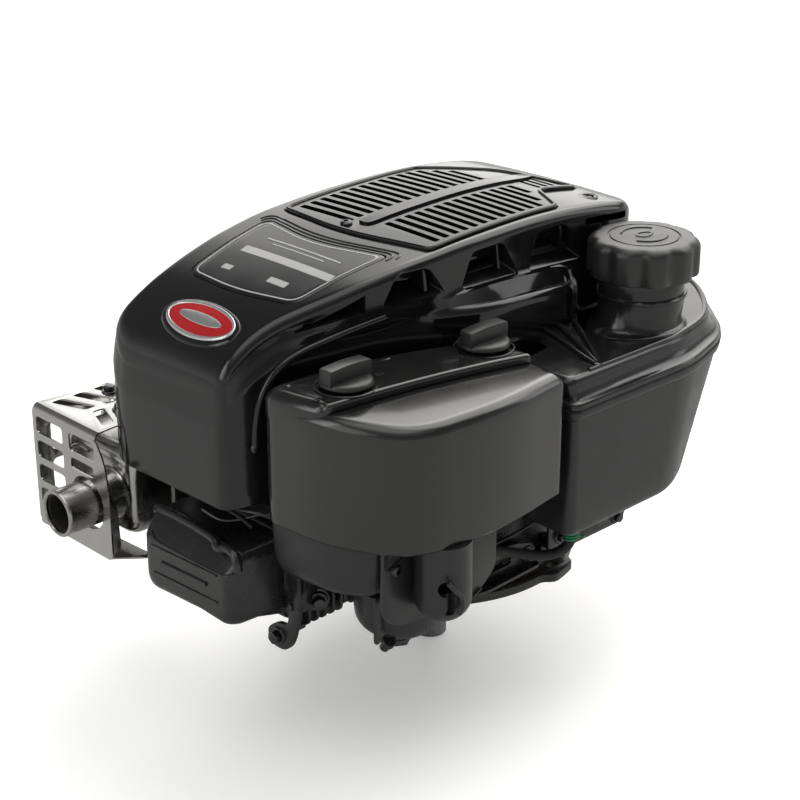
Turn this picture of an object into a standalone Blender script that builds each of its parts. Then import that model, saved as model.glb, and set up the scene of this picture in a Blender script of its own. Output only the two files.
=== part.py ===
"""Small vertical-shaft overhead-valve gasoline engine, as an assembly of separate pieces.

Lengths are millimetres in the flange frame: crank axis at x = y = 0, mounting flange
underside at z = 0, cylinder head towards -X, carburettor and air cleaner towards -Y. Every
object hangs on the empty "flange_plane", which stands SHAFT_OUT above the world origin, so
the world origin is the centre of the take-off shaft's end face.
"""
import math

import bmesh
import bpy
import numpy as np
from mathutils import Matrix, Vector

for old in list(bpy.data.objects):
    bpy.data.objects.remove(old, do_unlink=True)

# ---------------------------------------------------------------- driving dimensions (mm)
MM = 0.001              # one millimetre in scene units
SHAFT_OUT = 80.0        # take-off shaft below the flange
SHAFT_R = 12.5
BORE_R, STROKE, ROD = 34.15, 52.0, 88.0
THROW = STROKE / 2
WRIST_PIN_X = -(ROD + THROW)  # piston at top dead centre
CRANKPIN_R = 11
BORE_Z = 54.0           # cylinder axis above the flange
CAM_Y = 49.5            # camshaft axis
GEAR_Z = (15, 23)       # lower and upper faces of both timing gears
VALVE_Y, PIVOT_Y, PUSH_Y = -8.0, 20.0, 48.0  # valve stems, rocker pivots, pushrods
VALVE_Z = (39.0, 68.0)  # intake, exhaust
LOBE_Z = (43.5, 64.5)   # intake, exhaust: cam lobes and pushrods
PUSH_HOLE_R = 4.6
CASE_R, CASE_INNER_R = 95.5, 90.0
FLANGE_R, BOLT_CIRCLE_R, BOLT_HOLE_R = 106.0, 101.6, 4.8
LUG_ANGLES = (-76.0, 44.0, 164.0)
WALL = 2.2              # moulded shell wall
KNOBS = {"knob_front": (-163.0, -87.0), "knob_rear": (-53.0, -101.0)}  # axes, x and y
KNOB_Z = 197.4
CAP_AT = (96.5, -111.5)  # filler neck axis, x and y
CAP_R, NECK_R, CAP_Z = 39.5, 30.0, 215.5
OUTLET = (112.0, 67.0)  # exhaust outlet axis, y and z
CARB_X, CARB_Y, CARB_Z = -126.0, -96.0, 79  # centre of the carburettor's throat
CARB_SHAFTS = {"throttle": 10, "choke": -12}  # y offset from CARB_Y
DIPSTICK_AT = (98, 117)  # x and y

# ---------------------------------------------------------------- scene
parts = bpy.data.collections.new("small_gasoline_engine")
cutters = bpy.data.collections.new("cutters")  # holds shapes until they are used up or placed
for collection in (parts, cutters):
    bpy.context.scene.collection.children.link(collection)

flange_plane = bpy.data.objects.new("flange_plane", None)
parts.objects.link(flange_plane)
flange_plane.location = (0, 0, SHAFT_OUT * MM)

# Kind: (base colour, roughness, metallic)
FINISHES = {
    "gloss": ((0.012, 0.012, 0.013), 0.22, 0.0),
    "matte": ((0.03, 0.03, 0.031), 0.5, 0.0),
    "casting": ((0.02, 0.02, 0.021), 0.5, 0.0),
    "alloy": ((0.55, 0.55, 0.56), 0.4, 1.0),
    "steel": ((0.42, 0.42, 0.43), 0.32, 1.0),
    "stainless": ((0.72, 0.71, 0.7), 0.25, 1.0),
    "iron": ((0.16, 0.16, 0.16), 0.5, 1.0),
    "rubber": ((0.02, 0.02, 0.02), 0.8, 0.0),
    "green": ((0.02, 0.2, 0.09), 0.4, 0.0),
    "paper": ((0.75, 0.68, 0.5), 0.9, 0.0),
    "ceramic": ((0.85, 0.85, 0.83), 0.25, 0.0),
    "print": ((0.05, 0.052, 0.055), 0.3, 0.0),
}
SHARP_ANGLE = math.radians(35)  # edges turning more than this stay sharp


def finish(kind, name):
    colour, roughness, metallic = FINISHES[kind]
    mat = bpy.data.materials.new(name + "_finish")
    mat.use_nodes = True
    inputs = mat.node_tree.nodes["Principled BSDF"].inputs
    inputs["Base Color"].default_value = (*colour, 1)
    inputs["Roughness"].default_value = roughness
    inputs["Metallic"].default_value = metallic
    mat.diffuse_color = (*colour, 1)
    return mat


def place(obj, name, kind, pivot=(0, 0, 0)):
    """Names a shape, moves its origin to pivot (mm, flange frame), finishes and parents it."""
    obj.name = name
    obj.data.name = name
    origin = Vector(pivot) * MM
    obj.data.transform(Matrix.Translation(-origin))
    obj.location = origin
    obj.parent = flange_plane
    obj.data.materials.clear()
    obj.data.materials.append(finish(kind, name))
    obj.data.shade_smooth()
    obj.data.set_sharp_from_angle(angle=SHARP_ANGLE)
    cutters.objects.unlink(obj)
    parts.objects.link(obj)


# ---------------------------------------------------------------- mesh plumbing
def link_shape(mesh):
    obj = bpy.data.objects.new("shape", mesh)
    cutters.objects.link(obj)
    return obj


def write_shape(bm):
    mesh = bpy.data.meshes.new("shape")
    bm.to_mesh(mesh)
    bm.free()
    return link_shape(mesh)


def solid_shape(bm):
    bmesh.ops.recalc_face_normals(bm, faces=bm.faces)
    return write_shape(bm)


def evaluated_mesh(obj):
    bpy.context.view_layer.update()
    return bpy.data.meshes.new_from_object(
        obj.evaluated_get(bpy.context.evaluated_depsgraph_get()))


def curve_shape(curve, point_lists, cyclic):
    """Fills the curve with straight splines and meshes it, with its caps welded on."""
    for points in point_lists:
        spline = curve.splines.new("POLY")
        spline.points.add(len(points) - 1)
        for target, point in zip(spline.points, points):
            target.co = (*[c * MM for c in point], 1)
        spline.use_cyclic_u = cyclic
    carrier = bpy.data.objects.new("carrier", curve)
    cutters.objects.link(carrier)
    mesh = evaluated_mesh(carrier)
    bm = bmesh.new()
    bm.from_mesh(mesh)
    bmesh.ops.remove_doubles(bm, verts=bm.verts, dist=1e-6)
    bmesh.ops.dissolve_degenerate(bm, dist=1e-7, edges=bm.edges)
    bmesh.ops.recalc_face_normals(bm, faces=bm.faces)
    bm.to_mesh(mesh)
    bm.free()
    bpy.data.objects.remove(carrier, do_unlink=True)
    return link_shape(mesh)


def combine(base, others, operation, solver):
    """Applies a boolean to base with each of the others in turn, using them up."""
    for other in others:
        mod = base.modifiers.new(operation.lower(), "BOOLEAN")
        mod.operation = operation
        mod.solver = solver
        mod.object = other
        fresh = evaluated_mesh(base)
        base.modifiers.clear()
        spent = base.data
        base.data = fresh
        bpy.data.meshes.remove(spent)
        bpy.data.objects.remove(other, do_unlink=True)


def cut(base, *others, solver="EXACT"):
    combine(base, others, "DIFFERENCE", solver)


def join(base, *others, solver="EXACT"):
    combine(base, others, "UNION", solver)


# ---------------------------------------------------------------- solids
def cylinder(radius, start, end, seg=24, end_radius=None):
    """Closed cylinder or cone between two points."""
    start, end = Vector(start) * MM, Vector(end) * MM
    turn = (end - start).to_track_quat("Z", "Y").to_matrix().to_4x4()
    bm = bmesh.new()
    bmesh.ops.create_cone(
        bm, cap_ends=True, segments=seg, radius1=radius * MM,
        radius2=(radius if end_radius is None else end_radius) * MM,
        depth=(end - start).length, matrix=Matrix.Translation((start + end) / 2) @ turn)
    return solid_shape(bm)


def bar(axis, radius, centre, start, end, seg=24, end_radius=None):
    """Cylinder along an axis; centre is (y, z) for X, (x, z) for Y and (x, y) for Z."""
    i = "XYZ".index(axis)
    ends = [(*centre[:i], level, *centre[i:]) for level in (start, end)]
    return cylinder(radius, *ends, seg, end_radius)


def box(low, high, bevel=0.0, bevel_steps=1):
    size = [(b - a) * MM for a, b in zip(low, high)]
    middle = [(a + b) / 2 * MM for a, b in zip(low, high)]
    bm = bmesh.new()
    bmesh.ops.create_cube(
        bm, size=1.0, matrix=Matrix.Translation(middle) @ Matrix.Diagonal((*size, 1)))
    if bevel:
        bmesh.ops.bevel(bm, geom=bm.edges[:], offset=bevel * MM, segments=bevel_steps,
                        affect="EDGES", profile=0.5)
    return solid_shape(bm)


def turned(profile, seg=32, axis="Z", at=(0, 0, 0)):
    """Body of revolution about Z or X from (radius, station) points, closed on the axis.
    A profile whose ends don't reach the axis is closed on itself, which makes a ring."""
    bm = bmesh.new()
    rows = []
    for radius, station in profile:
        if radius == 0:
            rows.append([bm.verts.new((0, 0, station * MM))])
        else:
            rows.append([bm.verts.new((radius * MM * math.cos(2 * math.pi * i / seg),
                                       radius * MM * math.sin(2 * math.pi * i / seg),
                                       station * MM)) for i in range(seg)])
    solid = profile[0][0] == 0 and profile[-1][0] == 0
    for a, b in zip(rows, rows[1:] + ([] if solid else [rows[0]])):
        for i in range(seg):
            j = (i + 1) % seg
            corners = [a[0]] if len(a) == 1 else [a[i], a[j]]
            corners += [b[0]] if len(b) == 1 else [b[j], b[i]]
            if len(corners) > 2:
                bm.faces.new(corners)
    turn = Matrix.Rotation(math.radians(90 if axis == "X" else 0), 4, "Y")
    bmesh.ops.transform(bm, matrix=Matrix.Translation(Vector(at) * MM) @ turn, verts=bm.verts)
    return solid_shape(bm)


def tube(outer, inner, first, last, seg, axis="Z", at=(0, 0, 0)):
    """Straight ring between two stations on its axis."""
    return turned([(outer, first), (outer, last), (inner, last), (inner, first)], seg, axis, at)


PLATE_TURN = {
    "X": Matrix(((0, 0, 1, 0), (1, 0, 0, 0), (0, 1, 0, 0), (0, 0, 0, 1))),
    "Y": Matrix(((0, 1, 0, 0), (0, 0, 1, 0), (1, 0, 0, 0), (0, 0, 0, 1))),
    "Z": Matrix.Identity(4),
}


def plate(outlines, low, high, axis="Z"):
    """Flat plate from closed outlines, holes included. Outline pairs are (x, y) for axis Z,
    (y, z) for axis X and (x, z) for axis Y; low and high are the faces along the axis."""
    curve = bpy.data.curves.new("outline", "CURVE")
    curve.dimensions = "2D"
    curve.fill_mode = "BOTH"
    curve.extrude = (high - low) / 2 * MM
    flat = [[(v, u, 0) if axis == "Y" else (u, v, 0) for u, v in line] for line in outlines]
    obj = curve_shape(curve, flat, cyclic=True)
    turn = PLATE_TURN[axis]
    normal = turn.col[2].to_3d()
    obj.data.transform(Matrix.Translation(normal * (low + high) / 2 * MM) @ turn)
    return obj


def wire(points, radius, resolution=2):
    """Round bar through the points."""
    curve = bpy.data.curves.new("wire", "CURVE")
    curve.dimensions = "3D"
    curve.bevel_depth = radius * MM
    curve.bevel_resolution = resolution
    curve.use_fill_caps = True
    return curve_shape(curve, [points], cyclic=False)


def skin(rings, cap_first, cap_last):
    """Quads between rings of 3D points with equal counts, with triangulated end caps."""
    bm = bmesh.new()
    rows = [[bm.verts.new([c * MM for c in point]) for point in ring] for ring in rings]
    count = len(rows[0])
    for a, b in zip(rows, rows[1:]):
        for i in range(count):
            j = (i + 1) % count
            bm.faces.new((a[i], a[j], b[j], b[i]))
    if cap_first:
        bm.faces.new(rows[0][::-1])
    if cap_last:
        bm.faces.new(rows[-1])
    bm.normal_update()
    bmesh.ops.triangulate(bm, faces=[f for f in bm.faces if len(f.verts) > 4])
    return bm


def loft(rings):
    return solid_shape(skin(rings, cap_first=True, cap_last=True))


def shell(rings, wall, cap_last=True):
    """Skin open at the first ring, thickened inwards."""
    obj = write_shape(skin(rings, cap_first=False, cap_last=cap_last))
    mod = obj.modifiers.new("wall", "SOLIDIFY")
    mod.thickness = wall * MM
    mod.offset = -1
    fresh = evaluated_mesh(obj)
    obj.modifiers.clear()
    obj.data = fresh
    return obj


# ---------------------------------------------------------------- outlines
def polar(radius, degrees, x=0, y=0):
    angle = math.radians(degrees)
    return x + radius * math.cos(angle), y + radius * math.sin(angle)


def circle(x, y, radius, seg=16):
    return [(x + radius * math.cos(2 * math.pi * i / seg),
             y + radius * math.sin(2 * math.pi * i / seg)) for i in range(seg)]


def arc(x, y, radius, start, end, seg):
    return [polar(radius, start + (end - start) * i / seg, x, y) for i in range(seg + 1)]


def rect(u0, u1, v0, v1):
    return [(u0, v0), (u1, v0), (u1, v1), (u0, v1)]


def rounded(corners, steps=2, side_steps=1):
    """Closed outline from (x, y, radius) corners, each turned in the given steps and each
    side split in side_steps, so outlines with equally many corners match point for point."""
    bends = []
    for i, (x, y, radius) in enumerate(corners):
        corner = Vector((x, y))
        before = Vector(corners[i - 1][:2]) - corner
        after = Vector(corners[(i + 1) % len(corners)][:2]) - corner
        bends.append((corner + before.normalized() * min(radius, before.length * 0.45), corner,
                      corner + after.normalized() * min(radius, after.length * 0.45)))
    out = []
    for i, (start, corner, end) in enumerate(bends):
        for j in range(steps + 1):
            t = j / steps
            out.append(start * (1 - t) ** 2 + corner * 2 * t * (1 - t) + end * t * t)
        following = bends[(i + 1) % len(bends)][0]
        for j in range(1, side_steps):
            out.append(end + (following - end) * j / side_steps)
    return [tuple(point) for point in out]


def rounded_rect(u0, u1, v0, v1, radius, steps=3):
    return rounded([(u, v, radius) for u, v in rect(u0, u1, v0, v1)], steps)


def shrink(corners, inset):
    """Moves every edge of a counter-clockwise corner list inwards."""
    out = []
    for i, (x, y, radius) in enumerate(corners):
        corner = Vector((x, y))
        side0 = (corner - Vector(corners[i - 1][:2])).normalized()
        side1 = (Vector(corners[(i + 1) % len(corners)][:2]) - corner).normalized()
        normal0, normal1 = Vector((-side0.y, side0.x)), Vector((-side1.y, side1.x))
        moved = corner + (normal0 + normal1) * (inset / (1 + normal0.dot(normal1)))
        convex = side0.x * side1.y - side0.y * side1.x > 0
        change = -0.7 * inset if convex else 0.7 * inset
        out.append((moved.x, moved.y, max(1.0, radius + change)))
    return out


def pull_in(points, inset):
    """Moves each point of a counter-clockwise outline inwards along its normal."""
    out = []
    for i, (x, y) in enumerate(points):
        before, after = Vector(points[i - 1]), Vector(points[(i + 1) % len(points)])
        along = (after - before).normalized()
        out.append((x - along.y * inset, y + along.x * inset))
    return out


def lift(points, z):
    """Gives 2D points a height, which is a number or a function of x."""
    return [(x, y, z(x) if callable(z) else z) for x, y in points]


def ring(corners, z, inset=0):
    return lift(rounded(shrink(corners, inset)), z)


def stack(corners, stations):
    """Rings of one corner list at (inset, z) stations."""
    return [ring(corners, z, inset) for inset, z in stations]


# ================================================================ bottom end
# Flange rim, repeated from each lug: (degrees past the lug, bulge beyond FLANGE_R).
LUG_RIM = [(-10, 0), (-6, 6.5), (0, 7), (6, 6.5), (10, 0), (24, 0), (38, 0), (52, 0), (66, 0),
           (82, 0), (96, 0)]
# Cup and the bearing boss on its top: (radius, z).
CASE_PROFILE = [(FLANGE_R - 4, 18), (FLANGE_R - 4, 12.4), (CASE_INNER_R, 12.4),
                (CASE_INNER_R, 84), (12.9, 84), (12.9, 100), (24, 100), (24, 92),
                (CASE_R - 3, 92), (CASE_R, 89), (CASE_R, 18)]


def make_sump():
    """Floor with flange and lugs, low wall, take-off bearing boss and camshaft boss."""
    rim = [polar(FLANGE_R + bulge, lug + angle)
           for lug in LUG_ANGLES for angle, bulge in LUG_RIM]
    holes = [circle(*polar(BOLT_CIRCLE_R, lug), BOLT_HOLE_R, 10) for lug in LUG_ANGLES]
    sump = plate([rim, circle(0, 0, 20.6, 20)] + holes, 0, 6)
    bearing = [(23, 13), (23, 0.4), (19.3, 0.4), (19.3, 7.3), (13, 7.3), (13, 13)]
    join(sump,
         turned([(CASE_R - 1, 12), (CASE_R - 1, 4), (CASE_INNER_R + 0.5, 4),
                 (CASE_INNER_R + 0.5, 12)]),
         turned(bearing, 20),
         bar("Z", 9, (0, CAM_Y), 3, 12.2, 12))
    place(sump, "sump", "casting")


def make_oil_seal():
    place(tube(19.0, 12.8, 7.0, 0.6, 24), "oil_seal", "rubber")


def fin(x, half_thickness, outline):
    return plate([outline], x - half_thickness, x + half_thickness, "X")


def make_crankcase():
    """Cup with the cylinder barrel along -X, its cooling fins and the oil filler boss."""
    case = turned(CASE_PROFILE, 28)
    join(case, bar("X", 41, (0, BORE_Z), -62, -130))
    for n in range(4):
        join(case, fin(-102.5 - n * 7.4, 1.3, rounded_rect(-54, 58, 13, 96, 6, 1)))
    join(case, box((-132.4, -50, 12), (-127, 58, 95)))
    bore = [(0, -36), (BORE_R, -36), (BORE_R, -135), (0, -135)]
    cut(case, turned(bore, 24, "X", (0, 0, BORE_Z)))
    for z in LOBE_Z:
        cut(case, bar("X", PUSH_HOLE_R, (PUSH_Y, z), -60, -140, 12))
    join(case, cylinder(11, (58, 66, 30), (72, 82, 30), 16))
    cut(case, cylinder(7.2, (50, 57, 30), (80, 91, 30), 12))
    place(case, "crankcase", "casting")


# ================================================================ crank train
# The crankpin is parted over the rod's width, so the rod can stay on the piston.
CRANK_WEB = arc(-THROW, 0, 14, 260, 100, 8) + arc(0, 0, 40, 78, -78, 12)
# Hub, web and rim: (radius, z).
FLYWHEEL_PROFILE = [(79, 138), (79, 108), (66, 106), (66, 110), (22, 110), (22, 104.6),
                    (12.9, 104.6), (11.4, 137), (22, 137), (22, 118), (66, 118), (66, 138)]


def make_crankshaft():
    pin_at = (-THROW, 0)
    lower = turned([(0, 29), (SHAFT_R, 29), (SHAFT_R, 1 - SHAFT_OUT),
                    (SHAFT_R - 1, -SHAFT_OUT), (0, -SHAFT_OUT)])
    join(lower, plate([CRANK_WEB], 28, 39), bar("Z", CRANKPIN_R, pin_at, 38, 46.6, 20))
    keyway = box((-2.4, 9.6, -SHAFT_OUT - 1), (2.4, 14, -38))
    cut(lower, keyway)
    place(lower, "crankshaft_pto_end", "steel")

    upper = turned([(0, 156), (7, 156), (7, 138), (11, 138), (SHAFT_R, 104), (SHAFT_R, 79),
                    (0, 79)])
    join(upper, plate([CRANK_WEB], 69, 80), bar("Z", CRANKPIN_R, pin_at, 61.4, 70, 20))
    place(upper, "crankshaft_flywheel_end", "steel")


def gear(teeth, root, tip, hole, phase):
    """Timing gear; root, tip and hole are radii, and a hole of 0 leaves the gear solid."""
    half_tooth = 3.2 / ((root + tip) / 2) / 2
    points = []
    for i in range(teeth):
        middle = phase + 2 * math.pi * i / teeth
        for share, radius in ((-1.5, root), (-0.55, tip), (0.55, tip), (1.5, root)):
            angle = middle + half_tooth * share
            points.append((radius * math.cos(angle), radius * math.sin(angle)))
    return plate([points, circle(0, 0, hole, 24)] if hole else [points], *GEAR_Z)


def make_crank_gear():
    place(gear(12, root=14.9, tip=18.0, hole=12.8, phase=math.pi / 2), "crank_gear", "steel")


def cam_lobe(nose):
    """Lobe outline with its nose at the given angle in degrees."""
    points = []
    for angle in range(0, 360, 20):
        off_nose = abs((angle - nose + 180) % 360 - 180)
        rise = max(0.0, math.cos(math.radians(min(off_nose, 60) * 1.5))) ** 1.2
        points.append(polar(7.5 + 3.9 * rise, angle, 0, CAM_Y))
    return points


def make_camshaft():
    teeth = 24
    cam = gear(teeth, root=31.0, tip=34.1, hole=0, phase=-math.pi / 2 + math.pi / teeth)
    cam.data.transform(Matrix.Translation((0, CAM_Y * MM, 0)))
    join(cam, bar("Z", 6, (0, CAM_Y), 13, 82, 20))
    for z, nose in zip(LOBE_Z, (200.0, 310.0)):
        join(cam, plate([cam_lobe(nose)], z - 2.4, z + 2.4))
    place(cam, "camshaft", "iron", (0, CAM_Y, sum(GEAR_Z) / 2))


def make_flywheel():
    wheel = turned(FLYWHEEL_PROFILE, 24)
    blades = 9
    for i in range(blades):
        blade = plate([[(47, -1.2), (78, 9), (78, 12), (47, 1.6)]], 136, 160)
        blade.data.transform(Matrix.Rotation(2 * math.pi * i / blades, 4, "Z"))
        join(wheel, blade)
    place(wheel, "flywheel", "alloy")


def make_starter_cup():
    place(turned([(39, 166), (39, 138.5), (7.4, 138.5), (7.4, 141), (36.5, 141), (36.5, 166)],
                 28), "starter_cup", "steel")


def make_flywheel_nut():
    nut = plate([circle(0, 0, 12, 6), circle(0, 0, 7.4, 16)], 141.4, 149)
    place(nut, "flywheel_nut", "steel")


# ================================================================ piston and rod
PISTON_R = 33.5
GROOVE_R = 31.3
PISTON_AT = (WRIST_PIN_X, 0)
PISTON_PIVOT = (*PISTON_AT, BORE_Z)
# Crown, ring groove and skirt: (radius, x).
PISTON_PROFILE = [(0, -130), (PISTON_R, -130), (PISTON_R, -126.4), (GROOVE_R, -126.4),
                  (GROOVE_R, -123.6), (PISTON_R, -123.6), (PISTON_R, -96), (29.2, -96),
                  (29.2, -126.9), (0, -126.9)]


def make_piston():
    piston = turned(PISTON_PROFILE, 24, "X", (0, 0, BORE_Z))
    for low, high in ((BORE_Z - 31, BORE_Z - 9), (BORE_Z + 9, BORE_Z + 31)):
        join(piston, bar("Z", 11, PISTON_AT, low, high, 16))
    cut(piston, bar("Z", 7.8, PISTON_AT, BORE_Z - 40, BORE_Z + 40, 16))
    place(piston, "piston", "alloy", PISTON_PIVOT)


def make_piston_ring():
    """Ring in the groove, gapped on its +Y side."""
    band = tube(PISTON_R, 31.6, -123.9, -126.1, 24, "X", (0, 0, BORE_Z))
    cut(band, box((-130, 28, BORE_Z - 0.5), (-120, 38, BORE_Z + 0.5)))
    place(band, "piston_ring", "iron", PISTON_PIVOT)


def make_wrist_pin():
    place(bar("Z", 7.5, PISTON_AT, BORE_Z - 30, BORE_Z + 30, 16), "wrist_pin", "steel",
          PISTON_PIVOT)


def make_connecting_rod():
    outline = arc(*PISTON_AT, 11.2, 50, 310, 8) + arc(-THROW, 0, 16.5, 205, 515, 12)
    eyes = [circle(*PISTON_AT, 7.9, 16), circle(-THROW, 0, 11.4, 20)]
    place(plate([outline] + eyes, BORE_Z - 7, BORE_Z + 7), "connecting_rod", "alloy",
          PISTON_PIVOT)


# ================================================================ head, valves, valve cover
PLUG_START = Vector((-137.0, 20.0, 58.0))
PLUG_DIRECTION = Vector((-0.66, 0.34, 0.67)).normalized()
ROCKER_X = -196
# Valve head, stem and the collar near its end: (radius, x).
VALVE_PROFILE = [(0, -137.2), (13.5, -137.2), (13.5, -138.4), (2.8, -140.6), (2.8, -188.6),
                 (6.3, -188.6), (6.3, -191), (2.8, -191), (2.8, -193), (0, -193)]
# Valve cover from its rim outwards: (x, y low, y high, z low, z high, corner radius).
VALVE_COVER = [(-172.4, -44, 62, 15, 81, 8), (-176, -44, 62, 15, 81, 8),
               (-177, -42, 60, 17, 79, 8), (-212, -41, 59, 18, 77, 9),
               (-222, -38, 56, 20, 66, 8), (-225, -34, 52, 24, 61, 6)]


def plug_at(distance):
    """Point on the spark plug's axis."""
    return tuple(PLUG_START + PLUG_DIRECTION * distance)


def plug_bar(radius, start, end, seg=16):
    return cylinder(radius, plug_at(start), plug_at(end), seg)


def make_head_gasket():
    push_holes = [circle(PUSH_Y, z, PUSH_HOLE_R, 12) for z in LOBE_Z]
    outline = rounded_rect(-49, 57, 13, 94, 6)
    gasket = plate([outline, circle(0, BORE_Z, 34.6, 24)] + push_holes, -134.0, -132.8, "X")
    place(gasket, "head_gasket", "steel")


def make_cylinder_head():
    head = plate([rounded_rect(-46, 60, 14, 92, 8)], -172, -134.4, "X")
    for n in range(4):
        join(head, fin(-139 - n * 8.4, 1.4, rounded_rect(-52, 64, 10, 97, 6, 2)))
    chamber = bar("X", 33.8, (0, BORE_Z), -130, -141)
    cut(head, chamber)
    for z in VALVE_Z:
        cut(head, bar("X", 3.2, (VALVE_Y, z), -139, -176, 12))
    for z in LOBE_Z:
        cut(head, bar("X", PUSH_HOLE_R, (PUSH_Y, z), -130, -176, 12))
    cut(head, plug_bar(6.3, -4, 30), plug_bar(12, 30, 70))
    intake_port = bar("Y", 9, (-150, 70), -60, -38, 16)
    exhaust_port = bar("Y", 9, (-152, 44), 70, 44, 16)
    cut(head, intake_port, exhaust_port)
    place(head, "cylinder_head", "casting")


def make_valve(name, valve_z):
    valve = turned(VALVE_PROFILE, 20, "X", (0, VALVE_Y, valve_z))
    place(valve, name + "_valve", "steel", (-190, VALVE_Y, valve_z))


def make_valve_spring(name, valve_z):
    coil = [(-173.8 - 8.0 * t / 30, VALVE_Y + 6.3 * math.cos(t * 0.8),
             valve_z + 6.3 * math.sin(t * 0.8)) for t in range(0, 31, 2)]
    place(wire(coil, 1.1, 0), name + "_valve_spring", "steel", (-180, VALVE_Y, valve_z))


def make_rocker(name, valve_z, push_z):
    """Pivot barrel with one arm to the valve and one to the pushrod."""
    rocker = bar("Z", 6, (ROCKER_X, PIVOT_Y), min(valve_z, push_z) - 4.5,
                 max(valve_z, push_z) + 4.5, 16)
    for y0, y1, z in ((VALVE_Y - 4, PIVOT_Y + 2, valve_z), (PIVOT_Y - 2, PUSH_Y + 4, push_z)):
        join(rocker, plate([rect(y0, y1, z - 4, z + 4)], -199, -193.4, "X"))
    place(rocker, name + "_rocker", "steel", (ROCKER_X, PIVOT_Y, valve_z))


def make_pushrod(name, push_z):
    """Pushrod with its cam follower."""
    at = (PUSH_Y, push_z)
    pushrod = bar("X", 2.5, at, -20, -193.0, 10)
    join(pushrod, bar("X", 5.6, at, -12.2, -21, 14))
    place(pushrod, name + "_pushrod", "steel", (-12.2, *at))


def make_valve_trains():
    for name, valve_z, push_z in zip(("intake", "exhaust"), VALVE_Z, LOBE_Z):
        make_valve(name, valve_z)
        make_valve_spring(name, valve_z)
        make_rocker(name, valve_z, push_z)
        make_pushrod(name, push_z)


def make_valve_cover():
    rings = [[(x, y, z) for y, z in rounded_rect(*sizes)][::-1] for x, *sizes in VALVE_COVER]
    place(shell(rings, 2.0), "valve_cover", "matte")


def make_spark_plug():
    plug = plug_bar(6.0, -1, 31)
    join(plug, plug_bar(10.2, 30.5, 38, 6), plug_bar(5, 37, 56, 12))
    place(plug, "spark_plug", "ceramic")


def make_plug_boot():
    """Boot with the lead that runs to the ignition coil."""
    boot = plug_bar(9, 40, 70)
    cut(boot, plug_bar(5.4, 36, 57, 12))
    x, y, z = plug_at(66)
    join(boot, wire([(x, y, z), (x + 6, y + 4, 120), (-150, 56, 126), (-118, 30, 128),
                     (-115.6, 12, 126)], 3.0, 1))
    place(boot, "plug_boot", "rubber")


def make_ignition_coil():
    coil = box((-112, -17, 104.6), (-92, 17, 136), 2)
    join(coil, box((-94, -16, 112), (-81, -8, 130)), box((-94, 8, 112), (-81, 16, 130)))
    place(coil, "ignition_coil", "matte")


# ================================================================ intake side
CARB_AT = (CARB_X, CARB_Y)
# Bowl wall down its outside and up its inside: (radius, z).
BOWL_PROFILE = [(30, 61.6), (32, 58), (32, 24), (29, 14), (20, 8), (5.2, 7.2), (5.2, 9.6),
                (18, 10.6), (27, 16), (30, 25), (30, 58), (28, 61.6)]
# Corners: (x, y, radius).
AIR_COVER = [(-202, -46, 16), (-198, -108, 34), (-170, -158, 26), (-100, -166, 60),
             (-32, -156, 7), (-34, -90, 8), (-62, -80, 14), (-104, -66, 22), (-164, -52, 20)]
AIR_TUB = [(-200, -50, 8), (-196, -102, 26), (-176, -136, 18), (-152, -140, 6),
           (-152, -126, 4), (-158, -118, 6), (-158, -56, 8), (-176, -50, 8)]
AIR_COVER_Z = 113.0


def make_carburetor_body():
    body = bar("Z", 22, CARB_AT, 62, 66.5)
    throat = (CARB_X, CARB_Z)
    join(body, box((CARB_X - 19, CARB_Y - 20, 65), (CARB_X + 19, CARB_Y + 18, 95), 3),
         bar("Y", 15.2, throat, CARB_Y - 23, CARB_Y + 22, 20))
    cut(body, bar("Y", 10.2, throat, CARB_Y - 30, CARB_Y + 30, 20))
    for offset in CARB_SHAFTS.values():
        cut(body, bar("Z", 2.8, (CARB_X, CARB_Y + offset), 72, 100, 10))
    place(body, "carburetor_body", "alloy")


def make_float_bowl():
    place(turned(BOWL_PROFILE, 20, at=(*CARB_AT, 0)), "float_bowl", "matte")


def make_bowl_nut():
    nut = plate([circle(*CARB_AT, 8, 6)], 1, 7.0)
    join(nut, bar("Z", 4.2, CARB_AT, 6, 61, 12))
    place(nut, "bowl_nut", "steel", (*CARB_AT, 4))


def make_carburetor_shafts():
    """Throttle and choke: upright shaft, disc in the throat and lever on top."""
    for name, offset in CARB_SHAFTS.items():
        y = CARB_Y + offset
        shaft = bar("Z", 2.4, (CARB_X, y), 72.6, 98, 10)
        lever = [(CARB_X - 3.5, y - 3.5), (CARB_X + 20, y - 3), (CARB_X + 20, y + 3),
                 (CARB_X - 3.5, y + 3.5)]
        join(shaft, bar("Y", 8.6, (CARB_X, CARB_Z), y - 0.7, y + 0.7, 16),
             plate([lever], 95.6, 97.6))
        place(shaft, name + "_shaft", "steel", (CARB_X, y, CARB_Z))


def make_intake_manifold():
    pipe = wire([(CARB_X, CARB_Y + 23, CARB_Z), (CARB_X, CARB_Y + 28, CARB_Z),
                 (-136, -62, 74), (-150, -56, 70), (-150, -46.4, 70)], 8.0)
    flange = rect(CARB_X - 18, CARB_X + 18, CARB_Z - 10, CARB_Z + 10)
    join(pipe, plate([flange], CARB_Y + 22.4, CARB_Y + 26, "Y"))
    place(pipe, "intake_manifold", "matte")


def make_air_cleaner_cover():
    cover = shell(stack(AIR_COVER, ((0, AIR_COVER_Z), (0, 183), (1.6, 188.5), (4.5, 193.0),
                                    (10, 196.5))), WALL)
    for knob_at in KNOBS.values():
        cut(cover, bar("Z", 5.6, knob_at, 180, 205, 14))
    place(cover, "air_cleaner_cover", "gloss", (-110, -110, AIR_COVER_Z))


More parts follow.
